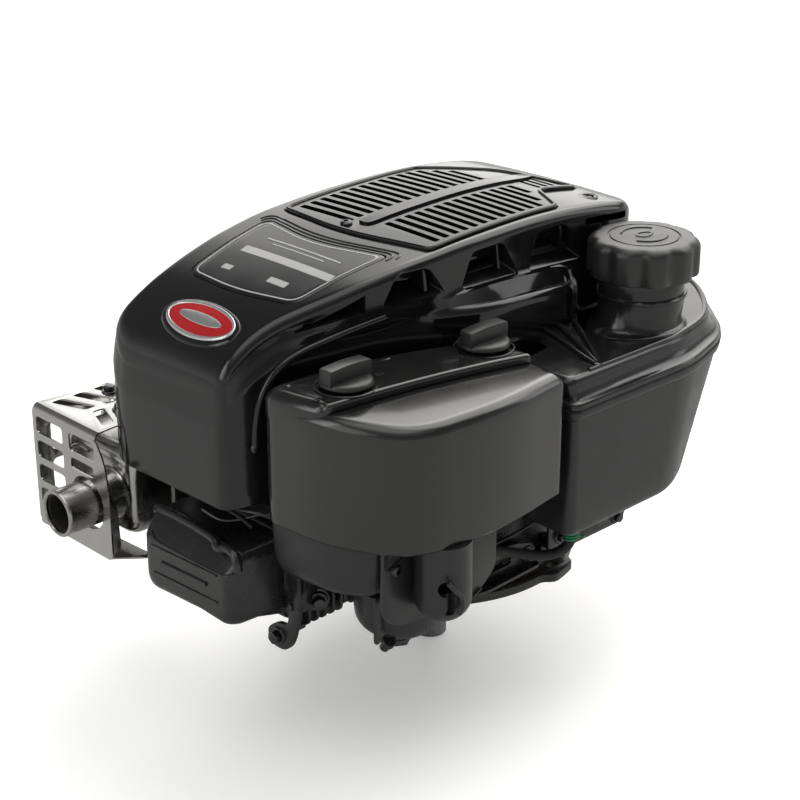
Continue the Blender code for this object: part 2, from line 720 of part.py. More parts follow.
def make_knobs():
    """Knob with its stem, a grip bar on top and a cross bar at the foot."""
    foot = KNOB_Z - 0.3
    profile = [(0, 203), (18.5, 203), (18.5, 198.5), (17, foot), (5, foot), (5, 168), (0, 168)]
    for name, (x, y) in KNOBS.items():
        knob = turned(profile, 18, at=(x, y, 0))
        grip = rounded_rect(x - 17, x + 17, y - 4.6, y + 4.6, 2.5, 2)
        join(knob, plate([grip], 201, 211), box((x - 12, y - 3, 166), (x + 12, y + 3, 171)))
        place(knob, name, "matte", (x, y, KNOB_Z))


def make_air_cleaner_base():
    """Tray with a tub, a round boss and two upright webs below it."""
    base = loft(stack(AIR_COVER, ((1.5, 101), (0.4, 104), (0.4, 112.4))))
    boss = turned([(0, 103), (19, 103), (19, 53), (14, 47), (0, 45)], 20, at=(-136, -147, 0))
    outer_web = [(-150, 50), (-122, 50), (-92, 62), (-92, 103), (-150, 103)]
    inner_web = [(-174, 54), (-168, 46), (-122, 38), (-114, 46), (-114, 103), (-174, 103)]
    join(base, loft(stack(AIR_TUB, ((7, 61), (2.5, 64), (0, 72), (0, 103)))),
         boss,
         plate([outer_web], -152, -147.5, "Y"),
         plate([inner_web], -132.8, -130, "Y"))
    cut(base, loft(stack(AIR_COVER, ((7, 106), (7, 118)))),
        bar("Z", 10, (CARB_X, -95), 96, 110, 16))
    place(base, "air_cleaner_base", "matte")


def make_air_filter():
    """Paper element, pleated along its -Y side."""
    outline = []
    for i in range(12):
        x = -160 + i * 8.4
        outline += [(x, -142), (x + 4.2, -136)]
    outline += [(-60, -104), (-66, -98), (-110, -84), (-160, -74)]
    place(plate([outline], 106.4, 150), "air_filter", "paper")


# ================================================================ exhaust side
GUARD_X = -228.0
GUARD_Y0, GUARD_Y1 = 96.0, 178.0
GUARD_Z0, GUARD_Z1 = 30.0, 124.0


def make_muffler_body():
    body = box((-206, 90, 37), (-120, 172, 103.5), 9, 2)
    join(body, bar("Y", 11, (-152, 44), 66.5, 95, 16))
    cut(body, bar("X", 14.2, OUTLET, -230, -192, 20))
    place(body, "muffler_body", "stainless")


def make_muffler_outlet():
    place(tube(16.5, 13.9, -254, -206.4, 24, "X", (0, *OUTLET)), "muffler_outlet", "stainless")


def make_muffler_guard():
    """Slotted sheet facing -X with slotted sheets on its +Y side and top."""
    slots = []
    for column, rows in ((0, 2), (1, 4)):
        y = GUARD_Y0 + 9 + column * 35
        for row in range(rows):
            z = GUARD_Z1 - 9 - row * 20
            slots.append(rect(y, y + 29, z - 14, z))
    face = rounded_rect(GUARD_Y0, GUARD_Y1, GUARD_Z0, GUARD_Z1, 10)
    guard = plate([face] + slots, GUARD_X, GUARD_X + 1.2, "X")
    cut(guard, bar("X", 17.4, OUTLET, GUARD_X - 5, GUARD_X + 5, 20), solver="MANIFOLD")

    side = [rect(GUARD_X + 0.4, -158, GUARD_Z0 + 9, GUARD_Z1 - 9)]
    side += [rect(-218 + i * 20, -204 + i * 20, GUARD_Z0 + 18, GUARD_Z1 - 18)
             for i in range(3)]
    top = [rect(GUARD_X + 0.4, -164, GUARD_Y0 + 11, GUARD_Y1 - 11)]
    top += [rect(-216 + i * 16, -206 + i * 16, GUARD_Y0 + 16, GUARD_Y1 - 18)
            for i in range(3)]
    join(guard, plate(side, GUARD_Y1 - 1.5, GUARD_Y1 - 0.3, "Y"),
         plate(top, GUARD_Z1 - 1.5, GUARD_Z1 - 0.3), solver="MANIFOLD")
    place(guard, "muffler_guard", "stainless")


# ================================================================ cooling shroud
# Height of the shroud's top along the engine: (x, z).
TOP = [(-216, 188), (-212, 200), (-205, 210), (-190, 220), (-170, 230), (-140, 241),
       (-115, 249), (-75, 257), (-20, 260.5), (60, 261), (127, 253), (150, 245), (170, 236)]
DECK_DEPTH = [(-100, 4.6), (-86, 7.0)]  # deck below the top: (x, depth)
# Corners of the raised part and of the skirt below it: (x, y, radius).
RIDGE = [(-214, -26, 8), (-180, -30, 14), (-128, -56, 26), (-84, -68, 20), (-30, -70, 10),
         (48, -70, 6), (66, -70, 6), (132, -70, 14), (161, -42, 18), (163, 60, 26),
         (132, 90, 20), (-74, 94, 30), (-150, 98, 20), (-206, 98, 12), (-216, 80, 12)]
SKIRT = [(-216, -28, 8), (-186, -38, 14), (-140, -50, 26), (-92, -60, 20), (-30, -87, 18),
         (52, -87, 10), (66, -76, 8), (134, -75, 12), (165, -48, 18), (167, 62, 26),
         (134, 98, 20), (-74, 101, 30), (-150, 101, 20), (-208, 100, 12), (-218, 82, 12)]
OPENING_X, OPENING_Y, OPENING_R = 10, 5, 60.0
GRILLE = [(-72, -58, 5), (62, -58, 5), (86, -24, 6), (122, -27, 6), (105, 36, 8),
          (59, 78, 6), (-82, 74, 5)]
MODEL_PLATE = [(-150, 82, 8), (-154, -8, 8), (-78, -28, 8), (-88, 76, 8)]


def ramp(x, table):
    """Straight-line reading of an (x, value) table, held constant past its ends."""
    return float(np.interp(x, *zip(*table)))


def below_top(drop):
    """Height function that follows the top's curve, a little lower."""
    return lambda x: ramp(x, TOP) - drop


def deck_z(x):
    """Recessed top that the plate and the grille sit on."""
    return ramp(x, TOP) - ramp(x, DECK_DEPTH)


def ledge_z(x):
    """Step between skirt and raised part, arched along x."""
    arched = 204 + 12 * max(0.0, 1 - ((x + 50) / 150) ** 2)
    return min(arched, ramp(x, TOP) - 18)


def make_blower_housing():
    ridge = rounded(RIDGE)
    opening = []
    for x, y in ridge:
        angle = math.atan2(y - OPENING_Y, x - OPENING_X)
        opening.append((OPENING_X + OPENING_R * math.cos(angle) * 1.1,
                        OPENING_Y + OPENING_R * math.sin(angle)))
    midway = [(a[0] * 0.6 + b[0] * 0.4, a[1] * 0.6 + b[1] * 0.4)
              for a, b in zip(ridge, opening)]
    rings = [ring(SKIRT, lambda x: 108 - 4 * max(0.0, (-150 - x) / 66)),
             ring(SKIRT, lambda x: ledge_z(x) - 8),
             ring(SKIRT, ledge_z, 2),
             ring(RIDGE, lambda x: ledge_z(x) + 8),
             ring(RIDGE, below_top(7)),
             ring(RIDGE, below_top(2.6), 4),
             ring(RIDGE, deck_z, 10),
             lift(midway, deck_z),
             lift(opening, deck_z)]
    place(shell(rings, WALL, cap_last=False), "blower_housing", "gloss")


def make_grille_panel():
    """Plate with two rows of slots, bent to the top's curve."""
    slots = []
    for i in range(9):
        x = -60 + i * 14
        slots += [rect(x, x + 8, -52, -2), rect(x, x + 8, 14, 64)]
    grille = plate([rounded(GRILLE, 1, 5)] + slots, 0, 3.4)
    for vert in grille.data.vertices:
        vert.co.z += below_top(2.2)(vert.co.x / MM) * MM
    place(grille, "grille_panel", "gloss")


def make_model_plate():
    outline = rounded(MODEL_PLATE, 2, 3)
    rings = [lift(outline, lambda x: deck_z(x) + 0.8), lift(outline, below_top(1.6))]
    place(loft(rings), "model_plate", "print")


def make_nose_badge():
    """Oval badge near the shroud's -X end."""
    oval = [(-190 + 9 * x, 28 + 30 * y) for x, y in circle(0, 0, 1, 24)]
    place(loft([lift(oval, below_top(3.9)), lift(oval, below_top(0.4))]),
          "nose_badge", "steel")


# ================================================================ fuel tank
# Corners of the seam, the floor and the upper deck: (x, y, radius).
SEAM = [(-27, -160, 8), (96, -161, 16), (156, -143, 24), (208, -84, 24), (212, 30, 12),
        (172, 34, 8), (171, -52, 12), (135, -80, 12), (-27, -98, 6)]
FLOOR = [(-25, -157, 8), (84, -157, 16), (124, -138, 20), (164, -104, 16), (197, -26, 10),
         (175, -22, 8), (173, -60, 12), (134, -94, 14), (-25, -99, 6)]
DECK = [(-24, -152, 8), (94, -152, 16), (150, -136, 22), (200, -82, 22), (204, 22, 12),
        (175, 27, 8), (174, -54, 12), (137, -82, 12), (-24, -101, 6)]
WAIST = [tuple(a + (b - a) * 0.55 for a, b in zip(low, high))
         for low, high in zip(FLOOR, shrink(SEAM, 3))]
WAIST_Z = 115


def make_fuel_tank_lower():
    lower = loft(stack(FLOOR, ((4, 63.5), (1.2, 66), (0, 72))) + [ring(WAIST, WAIST_Z)]
                 + stack(SEAM, ((3, 152), (0, 154), (0, 158.4))))
    hollow = loft(stack(FLOOR, ((6.5, 66.5), (3, 72))) + [ring(WAIST, WAIST_Z, 2.6)]
                  + stack(SEAM, ((6, 152), (6, 166))))
    cut(lower, hollow)
    place(lower, "fuel_tank_lower", "matte")


def make_fuel_tank_upper():
    upper = loft(stack(SEAM, ((0, 158.8), (0, 163), (4, 165)))
                 + stack(DECK, ((0, 174), (4, 178.5))))
    cut(upper, loft(stack(SEAM, ((6, 150), (7, 163))) + stack(DECK, ((3, 171.5), (6, 176)))))
    join(upper, bar("Z", NECK_R + 1.5, CAP_AT, 170, CAP_Z + 3, end_radius=NECK_R))
    cut(upper, bar("Z", NECK_R - 2.6, CAP_AT, 160, CAP_Z + 10))
    place(upper, "fuel_tank_upper", "gloss")


def make_fuel_cap():
    """Cap with ten grooves round its edge."""
    edge = []
    for i in range(40):
        angle = 2 * math.pi * i / 40
        radius = CAP_R - 2.2 * max(0.0, math.cos(10 * angle)) ** 2
        edge.append((CAP_AT[0] + radius * math.cos(angle),
                     CAP_AT[1] + radius * math.sin(angle)))
    stations = ((1.5, 0), (0, 2), (0, 21), (3, 26), (7, 27.5))  # inset, height above CAP_Z
    cap = loft([lift(pull_in(edge, inset), CAP_Z + height) for inset, height in stations])
    cut(cap, bar("Z", NECK_R + 1.6, CAP_AT, CAP_Z - 5, CAP_Z + 19.5))
    place(cap, "fuel_cap", "matte", (*CAP_AT, CAP_Z))


def make_fuel_cap_liner():
    liner = turned([(0, CAP_Z + 19), (28.5, CAP_Z + 19), (28.5, CAP_Z + 3.6),
                    (25, CAP_Z + 3.6), (25, CAP_Z - 9), (0, CAP_Z - 9)], 20, at=(*CAP_AT, 0))
    place(liner, "fuel_cap_liner", "rubber", (*CAP_AT, CAP_Z + 3))


def make_fuel_line():
    place(wire([(4, -134, 63.0), (4, -134, 44), (-6, -128, 36), (-32, -115, 41),
                (-66, -106, 56), (-90, -100, 71), (-106, -98, 73)], 3.6, 1),
          "fuel_line", "rubber")


def make_hose_clamp():
    place(tube(6.8, 4.1, 54, 46, 16, at=(4, -134, 0)), "hose_clamp", "green")


# ================================================================ starter
def make_starter_pulley():
    place(turned([(46, 206), (46, 204), (40, 202), (40, 200), (46, 198), (46, 196),
                  (6.4, 196), (6.4, 206)], 24), "starter_pulley", "matte")


def make_starter_frame():
    """Cross of arms under the shroud's opening, with the pulley's post and four uprights."""
    frame = plate([circle(0, 0, 20, 24)], 210, 214)
    join(frame, box((-62, -6, 210.5), (62, 6, 213.5)), box((-6, -60, 210.5), (6, 60, 213.5)),
         bar("Z", 6, (0, 0), 188, 212, 16))
    for at in ((-60, 0), (60, 0), (0, -58), (0, 58)):
        join(frame, bar("Z", 4, at, 209, 246, 6))
    place(frame, "starter_frame", "steel")


def make_starter_grip():
    """Handle along X with a hollow stem towards -Y."""
    x, z = at = (-18, 176)
    grip = wire([(-62, 121, z), (-40, 120, z), (x, 119, z), (4, 120, z), (26, 121, z)], 8.5)
    join(grip, bar("Y", 6, at, 106, 119, 14))
    cut(grip, bar("Y", 2.6, at, 100, 112, 8))
    place(grip, "starter_grip", "rubber", (x, 106, z))


# ================================================================ oil filler
def make_dipstick_tube():
    bend = [(82, 94, 32), (92, 108, 44), (*DIPSTICK_AT, 64)]
    pipe = wire([(73, 83, 30), *bend, (*DIPSTICK_AT, 148)], 9.5)
    cut(pipe, wire([(60, 68, 30), *bend, (*DIPSTICK_AT, 160)], 7.0))
    place(pipe, "dipstick_tube", "matte")


def make_dipstick():
    dipstick = turned([(0, 170), (13, 170), (15, 167), (15, 149), (0, 148.4)], 20,
                      at=(*DIPSTICK_AT, 0))
    join(dipstick, box((96.6, 115.2, 84), (99.4, 118.8, 150)))
    place(dipstick, "dipstick", "matte", (*DIPSTICK_AT, 149))


# ================================================================ controls and brackets
GOVERNOR_X, GOVERNOR_Z = 58, 40  # governor lever's pin


def make_control_bracket():
    outline = [(6, 24), (86, 24), (92, 34), (92, 54), (60, 58), (6, 50)]
    bracket = plate([outline, circle(GOVERNOR_X, GOVERNOR_Z, 4.4, 12)], -112.0, -109.6, "Y")
    join(bracket, box((10, -110.5, 26), (26, -100, 30)), box((10, -102.4, 19), (26, -99.4, 29)))
    place(bracket, "control_bracket", "steel")


def make_governor_lever():
    outline = [(53, 32), (63, 32), (62, 46), (38, 56), (36, 52), (53, 44)]
    lever = plate([outline], -116.4, -113.6, "Y")
    join(lever, bar("Y", 4, (GOVERNOR_X, GOVERNOR_Z), -118, -104, 14))
    place(lever, "governor_lever", "steel", (GOVERNOR_X, -114, GOVERNOR_Z))


def make_head_bracket():
    outline = [(-58, 56), (-58, 30), (-50, 2), (-40, -6), (-28, -6), (-24, 4), (-34, 12.5),
               (-46, 13.5), (-46, 56)]
    bracket = plate([outline, circle(-34, 3, 3.4, 10)], -180, -176.8, "X")
    join(bracket, box((-178, -58, 30), (-158, -52.8, 50)))
    place(bracket, "head_bracket", "matte")


for make in (
        make_sump, make_oil_seal, make_crankcase,
        make_crankshaft, make_crank_gear, make_camshaft,
        make_flywheel, make_starter_cup, make_flywheel_nut,
        make_piston, make_piston_ring, make_wrist_pin, make_connecting_rod,
        make_head_gasket, make_cylinder_head, make_valve_trains, make_valve_cover,
        make_spark_plug, make_plug_boot, make_ignition_coil,
        make_carburetor_body, make_float_bowl, make_bowl_nut, make_carburetor_shafts,
        make_intake_manifold, make_air_cleaner_cover, make_knobs, make_air_cleaner_base,
        make_air_filter, make_muffler_body, make_muffler_outlet, make_muffler_guard,
        make_blower_housing, make_grille_panel, make_model_plate, make_nose_badge,
        make_fuel_tank_lower, make_fuel_tank_upper, make_fuel_cap, make_fuel_cap_liner,
        make_fuel_line, make_hose_clamp,
        make_starter_pulley, make_starter_frame, make_starter_grip,
        make_dipstick_tube, make_dipstick,
        make_control_bracket, make_governor_lever, make_head_bracket):
    make()
bpy.context.view_layer.update()
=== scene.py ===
"""Small petrol engine with an upright shaft: shroud, air cleaner, tank, muffler, castings.

Shapes are in millimetres, z from the mounting flange's underside, with the shaft on the z axis.
The cylinder, valve cover and shroud nose point to -X, the tank and air cleaner lie on the near
side (-Y), and the muffler and starter grip on the far side (+Y). piece() moves each shape to
the shared frame, in metres.
"""
import math
from bisect import bisect_left
from contextlib import contextmanager

import bmesh
import bpy
from mathutils import Matrix, Vector


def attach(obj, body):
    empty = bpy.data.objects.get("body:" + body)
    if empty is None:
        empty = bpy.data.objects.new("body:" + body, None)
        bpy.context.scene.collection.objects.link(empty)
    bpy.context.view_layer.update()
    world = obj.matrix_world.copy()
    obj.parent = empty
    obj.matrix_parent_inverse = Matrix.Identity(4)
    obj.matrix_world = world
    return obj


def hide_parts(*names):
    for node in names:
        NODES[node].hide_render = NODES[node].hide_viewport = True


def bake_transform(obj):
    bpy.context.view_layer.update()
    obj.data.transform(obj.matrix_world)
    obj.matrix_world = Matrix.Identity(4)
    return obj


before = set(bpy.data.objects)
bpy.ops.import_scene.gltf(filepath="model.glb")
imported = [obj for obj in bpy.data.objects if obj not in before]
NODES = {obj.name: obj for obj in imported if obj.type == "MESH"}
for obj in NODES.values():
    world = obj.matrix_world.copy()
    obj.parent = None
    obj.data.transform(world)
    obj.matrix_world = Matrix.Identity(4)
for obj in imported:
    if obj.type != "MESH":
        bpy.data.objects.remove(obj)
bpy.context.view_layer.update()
SCENE = bpy.context.scene
MM = 0.001
RISE = 80.0            # mounting flange above the world origin
TO_WORLD = Matrix.Translation((0, 0, RISE * MM)) @ Matrix.Diagonal((MM, MM, MM, 1))
ENGINE = "engine_block"


# ================================================================ shape helpers
def add_object(data, name="shape"):
    obj = bpy.data.objects.new(name, data)
    SCENE.collection.objects.link(obj)
    return obj


def discard(obj):
    bpy.data.objects.remove(obj, do_unlink=True)


def from_bm(bm, recalc=True):
    if recalc:
        bmesh.ops.recalc_face_normals(bm, faces=bm.faces)
    mesh = bpy.data.meshes.new("shape")
    bm.to_mesh(mesh)
    bm.free()
    return add_object(mesh)


@contextmanager
def editing(obj):
    """The object's mesh as a bmesh, written back at the end."""
    bm = bmesh.new()
    bm.from_mesh(obj.data)
    yield bm
    bm.to_mesh(obj.data)
    bm.free()


def evaluated(obj):
    bpy.context.view_layer.update()
    graph = bpy.context.evaluated_depsgraph_get()
    return bpy.data.meshes.new_from_object(obj.evaluated_get(graph))


def modify(obj, kind, **settings):
    """Adds one modifier and applies it."""
    modifier = obj.modifiers.new("shape", kind)
    for key, value in settings.items():
        setattr(modifier, key, value)
    mesh = evaluated(obj)
    obj.modifiers.clear()
    obj.data = mesh
    return obj


def soft(obj, width, seg=3, angle=32):
    """Rounds the edges sharper than the angle."""
    return modify(obj, "BEVEL", width=width, segments=seg, limit_method="ANGLE",
                  angle_limit=math.radians(angle), use_clamp_overlap=True,
                  miter_outer="MITER_ARC")


def cut(obj, *tools):
    for tool in tools:
        modify(obj, "BOOLEAN", operation="DIFFERENCE", solver="EXACT", object=tool)
        discard(tool)
    return obj


def thick(obj, wall, offset=-1):
    return modify(obj, "SOLIDIFY", thickness=wall, offset=offset)


def group(*objs):
    """Loose shapes of one finish kept as one piece."""
    bm = bmesh.new()
    for obj in objs:
        bm.from_mesh(obj.data)
        discard(obj)
    return from_bm(bm, False)


def facing(at, direction):
    """Matrix that moves the origin to a place and turns +Z to a direction."""
    return Matrix.Translation(at) @ direction.to_track_quat("Z", "Y").to_matrix().to_4x4()


def rod(radius, start, end, end_radius=None, seg=40, edge=0.0):
    start, end = Vector(start), Vector(end)
    bm = bmesh.new()
    bmesh.ops.create_cone(bm, cap_ends=True, segments=seg, radius1=radius,
                          radius2=radius if end_radius is None else end_radius,
                          depth=(end - start).length,
                          matrix=facing((start + end) / 2, end - start))
    obj = from_bm(bm)
    return soft(obj, edge, 2) if edge else obj


def box(low, high, edge=0.0, seg=3):
    bm = bmesh.new()
    size = [b - a for a, b in zip(low, high)]
    mid = [(a + b) / 2 for a, b in zip(low, high)]
    bmesh.ops.create_cube(bm, size=1.0,
                          matrix=Matrix.Translation(mid) @ Matrix.Diagonal((*size, 1)))
    if edge:
        bmesh.ops.bevel(bm, geom=bm.edges[:], offset=edge, segments=seg, affect="EDGES",
                        profile=0.5)
    return from_bm(bm)


def turned(profile, seg=64, at=(0, 0, 0), axis="Z"):
    """Lathe shape from (radius, height) points; a profile off the axis closes on itself."""
    bm = bmesh.new()
    solid_core = profile[0][0] == 0 and profile[-1][0] == 0
    rows = [[bm.verts.new(p) for p in lift(circle(0, 0, r, seg) if r else [(0, 0)], h)]
            for r, h in profile]
    for a, b in zip(rows, rows[1:] + ([] if solid_core else [rows[0]])):
        for i in range(seg):
            j = (i + 1) % seg
            corners = [a[0]] if len(a) == 1 else [a[i], a[j]]
            corners += [b[0]] if len(b) == 1 else [b[j], b[i]]
            if len(corners) > 2:
                bm.faces.new(corners)
    turn = {"Z": Matrix.Identity(4), "X": Matrix.Rotation(math.radians(90), 4, "Y"),
            "Y": Matrix.Rotation(math.radians(-90), 4, "X")}[axis]
    bmesh.ops.transform(bm, matrix=Matrix.Translation(at) @ turn, verts=bm.verts)
    return from_bm(bm)


def meshed(curve):
    """Turns curve data into a clean mesh object."""
    obj = add_object(curve)
    mesh = evaluated(obj)
    discard(obj)
    bm = bmesh.new()
    bm.from_mesh(mesh)
    bmesh.ops.remove_doubles(bm, verts=bm.verts, dist=1e-3)
    bmesh.ops.dissolve_degenerate(bm, dist=1e-4, edges=bm.edges)
    return from_bm(bm)


def add_spline(curve, points, cyclic):
    spline = curve.splines.new("POLY")
    spline.points.add(len(points) - 1)
    for target, point in zip(spline.points, points):
        target.co = (*point, 1)
    spline.use_cyclic_u = cyclic


def plate(outlines, low, high, axis="Z", edge=0.0, seg=2, angle=32):
    """Flat plate from outlines with holes: (x, y) for Z, (y, z) for X, (x, z) for Y."""
    curve = bpy.data.curves.new("outline", "CURVE")
    curve.dimensions, curve.fill_mode = "2D", "BOTH"
    curve.extrude = (high - low) / 2
    for outline in outlines:
        add_spline(curve, [(b, a, 0) if axis == "Y" else (a, b, 0) for a, b in outline], True)
    turn, shift = {
        "Z": (Matrix.Identity(4), (0, 0, 1)),
        "X": (Matrix(((0, 0, 1, 0), (1, 0, 0, 0), (0, 1, 0, 0), (0, 0, 0, 1))), (1, 0, 0)),
        "Y": (Matrix(((0, 1, 0, 0), (0, 0, 1, 0), (1, 0, 0, 0), (0, 0, 0, 1))), (0, 1, 0)),
    }[axis]
    obj = meshed(curve)
    obj.data.transform(Matrix.Translation(Vector(shift) * (low + high) / 2) @ turn)
    return soft(obj, edge, seg, angle) if edge else obj


def tube(points, radius, res=6, smooth=True, cyclic=False, steps=8):
    """Round bar through the points."""
    pts = [Vector(p) for p in points]
    count = len(pts)
    if smooth and count > 2:
        out = []
        for i in range(count if cyclic else count - 1):
            p0 = pts[i - 1] if (i or cyclic) else pts[i]
            p1, p2 = pts[i], pts[(i + 1) % count]
            p3 = pts[(i + 2) % count] if (cyclic or i + 2 < count) else p2
            for s in range(steps):
                t = s / steps
                out.append(0.5 * ((2 * p1) + (p2 - p0) * t
                                  + (2 * p0 - 5 * p1 + 4 * p2 - p3) * t * t
                                  + (3 * p1 - p0 - 3 * p2 + p3) * t ** 3))
        pts = out + ([] if cyclic else [pts[-1]])
    curve = bpy.data.curves.new("tube", "CURVE")
    curve.dimensions = "3D"
    curve.bevel_depth, curve.bevel_resolution, curve.use_fill_caps = radius, res, True
    add_spline(curve, pts, cyclic)
    return meshed(curve)


def circle(cx, cy, r, seg=48):
    return [(cx + r * math.cos(2 * math.pi * i / seg), cy + r * math.sin(2 * math.pi * i / seg))
            for i in range(seg)]


def around(radius, degrees, z, centre=(0, 0)):
    angle = math.radians(degrees)
    return (centre[0] + radius * math.cos(angle), centre[1] + radius * math.sin(angle), z)


def rounded(corners, arc=8, side=1):
    """Closed outline from (x, y, radius) corners, with steps per corner and per side."""
    count = len(corners)
    stations, out = [], []
    for i in range(count):
        p = Vector(corners[i][:2])
        a = Vector(corners[i - 1][:2]) - p
        b = Vector(corners[(i + 1) % count][:2]) - p
        r = corners[i][2]
        stations.append((p + a.normalized() * min(r, a.length * 0.45), p,
                         p + b.normalized() * min(r, b.length * 0.45)))
    for i, (s, p, e) in enumerate(stations):
        for j in range(arc + 1):
            t = j / arc
            out.append(s * (1 - t) ** 2 + p * 2 * t * (1 - t) + e * t * t)
        following = stations[(i + 1) % count][0]
        for j in range(1, side):
            out.append(e + (following - e) * j / side)
    return [tuple(v) for v in out]


def shrink(corners, d):
    """Corners moved inwards by d, or outwards where d is negative."""
    out = []
    for i, (x, y, r) in enumerate(corners):
        p = Vector((x, y))
        t0 = (p - Vector(corners[i - 1][:2])).normalized()
        t1 = (Vector(corners[(i + 1) % len(corners)][:2]) - p).normalized()
        n0, n1 = Vector((-t0.y, t0.x)), Vector((-t1.y, t1.x))
        q = p + (n0 + n1) * (d / (1 + n0.dot(n1)))
        turn = t0.x * t1.y - t0.y * t1.x
        out.append((q.x, q.y, max(1.0, r - 0.7 * d if turn > 0 else r + 0.7 * d)))
    return out


def inset(corners, d, arc=8, side=1):
    return rounded(shrink(corners, d), arc, side)


def rect(a0, a1, b0, b1, r, arc=6, side=1):
    return rounded([(a0, b0, r), (a1, b0, r), (a1, b1, r), (a0, b1, r)], arc, side)


def skin(rings, cap_start=False, cap_end=False, tip=None):
    """Quad skin over rings of equally many points, optionally closed to one last point."""
    bm = bmesh.new()
    rows = [[bm.verts.new(p) for p in ring] for ring in rings]
    n = len(rows[0])
    for a, b in zip(rows, rows[1:]):
        for i in range(n):
            j = (i + 1) % n
            bm.faces.new((a[i], a[j], b[j], b[i]))
    if cap_start:
        bm.faces.new(rows[0][::-1])
    if cap_end:
        bm.faces.new(rows[-1])
    if tip is not None:
        last = bm.verts.new(tip)
        for i in range(n):
            bm.faces.new((rows[-1][i], rows[-1][(i + 1) % n], last))
    bm.normal_update()
    bmesh.ops.triangulate(bm, faces=[f for f in bm.faces if len(f.verts) > 4])
    return from_bm(bm, recalc=cap_start and (cap_end or tip is not None))


def solid(rings, tip=None):
    return skin(rings, True, tip is None, tip)


def lift(ring, z):
    return [(x, y, z(x, y) if callable(z) else z) for x, y in ring]


def toward(ring, mid, t):
    """Flat ring drawn towards a middle point by the share t."""
    return [(p[0] + (mid[0] - p[0]) * t, p[1] + (mid[1] - p[1]) * t) for p in ring]


def quarter_steps(count, first=1):
    """(sine, 1 - cosine) over a quarter turn."""
    angles = [math.pi / 2 * k / count for k in range(first, count + 1)]
    return [(math.sin(a), 1 - math.cos(a)) for a in angles]


def ease(t):
    t = max(0.0, min(1.0, t))
    return t * t * (3 - 2 * t)


def smooth_curve(stations):
    """Smooth function through (x, value) stations, with no overshoot."""
    xs, values = zip(*stations)
    chords = [(values[i + 1] - values[i]) / (xs[i + 1] - xs[i]) for i in range(len(xs) - 1)]
    slopes = [chords[0]] + [0 if a * b <= 0 else 2 * a * b / (a + b)
                            for a, b in zip(chords, chords[1:])] + [chords[-1]]

    def curve(x):
        if x <= xs[0]:
            return values[0]
        if x >= xs[-1]:
            return values[-1] + slopes[-1] * (x - xs[-1])
        i = bisect_left(xs, x) - 1
        h = xs[i + 1] - xs[i]
        t = (x - xs[i]) / h
        return ((2 * t ** 3 - 3 * t * t + 1) * values[i]
                + (t ** 3 - 2 * t * t + t) * h * slopes[i]
                + (-2 * t ** 3 + 3 * t * t) * values[i + 1] + (t ** 3 - t * t) * h * slopes[i + 1])

    return curve


# ================================================================ materials
NOISE_RANGE = (0.3, 0.7)        # the part of the noise that is stretched over a range
DRIFT_SCALE, DRIFT_DETAIL = 22.0, 4      # colour drift
ROUGH_SCALE, ROUGH_DETAIL = 60.0, 5      # roughness drift


def feed(tree, target, inputs):
    """Gives each input a value, or a link where the value is a socket."""
    for key, value in inputs.items():
        if isinstance(value, bpy.types.NodeSocket):
            tree.links.new(value, target.inputs[key])
        else:
            target.inputs[key].default_value = value


def node(tree, kind, inputs=None, **settings):
    made = tree.nodes.new("ShaderNode" + kind)
    for key, value in settings.items():
        setattr(made, key, value)
    feed(tree, made, inputs or {})
    return made


def new_material(name):
    material = bpy.data.materials.new(name)
    material.use_nodes = True
    tree = material.node_tree
    place = node(tree, "TexCoord").outputs["Object"]
    return material, tree, tree.nodes["Principled BSDF"], place


def noise(tree, place, scale, detail=3.0, rough=0.5, stretch=None):
    if stretch:
        place = node(tree, "Mapping", {"Scale": stretch, "Vector": place}).outputs["Vector"]
    return node(tree, "TexNoise", {"Scale": scale, "Detail": detail, "Roughness": rough,
                                   "Vector": place}).outputs["Fac"]


def span(tree, fac, low, high):
    return node(tree, "MapRange", {"From Min": NOISE_RANGE[0], "From Max": NOISE_RANGE[1],
                                   "To Min": low, "To Max": high,
                                   "Value": fac}).outputs["Result"]


def tint(tree, fac, a, b):
    return node(tree, "Mix", {"A": (*a, 1), "B": (*b, 1), "Factor": fac},
                data_type="RGBA").outputs["Result"]


def finish(name, slot, color, rough, vary, bump, grain, relief=0.0001, metal=0.0, coat=0.0,
           stretch=None, spread=0.18, spec=0.5, streak=0.0):
    """Colour drift, roughness drift (vary) and a fine grain relief of the given depth in m."""
    material, tree, shader, place = new_material(name)
    dark = tuple(c * (1 - spread) for c in color)
    pale = tuple(min(1.0, c * (1 + spread)) for c in color)
    base = tint(tree, noise(tree, place, DRIFT_SCALE, DRIFT_DETAIL), dark, pale)
    fine = noise(tree, place, grain, detail=3, rough=0.6, stretch=stretch)
    drift = span(tree, noise(tree, place, ROUGH_SCALE, ROUGH_DETAIL), rough - vary, rough + vary)
    grit = span(tree, fine, -vary * (0.5 + streak), vary * (0.5 + streak))
    total = node(tree, "Math", {0: drift, 1: grit}, operation="ADD").outputs[0]
    bumps = node(tree, "Bump", {"Strength": bump, "Distance": relief, "Height": fine})
    feed(tree, shader, {"Base Color": base, "Roughness": total, "Metallic": metal,
                        "Specular IOR Level": spec, "Normal": bumps.outputs["Normal"]})
    if coat:
        feed(tree, shader, {"Coat Weight": coat, "Coat Roughness": 0.06})
    material.diffuse_color = (*color, 1)
    return material


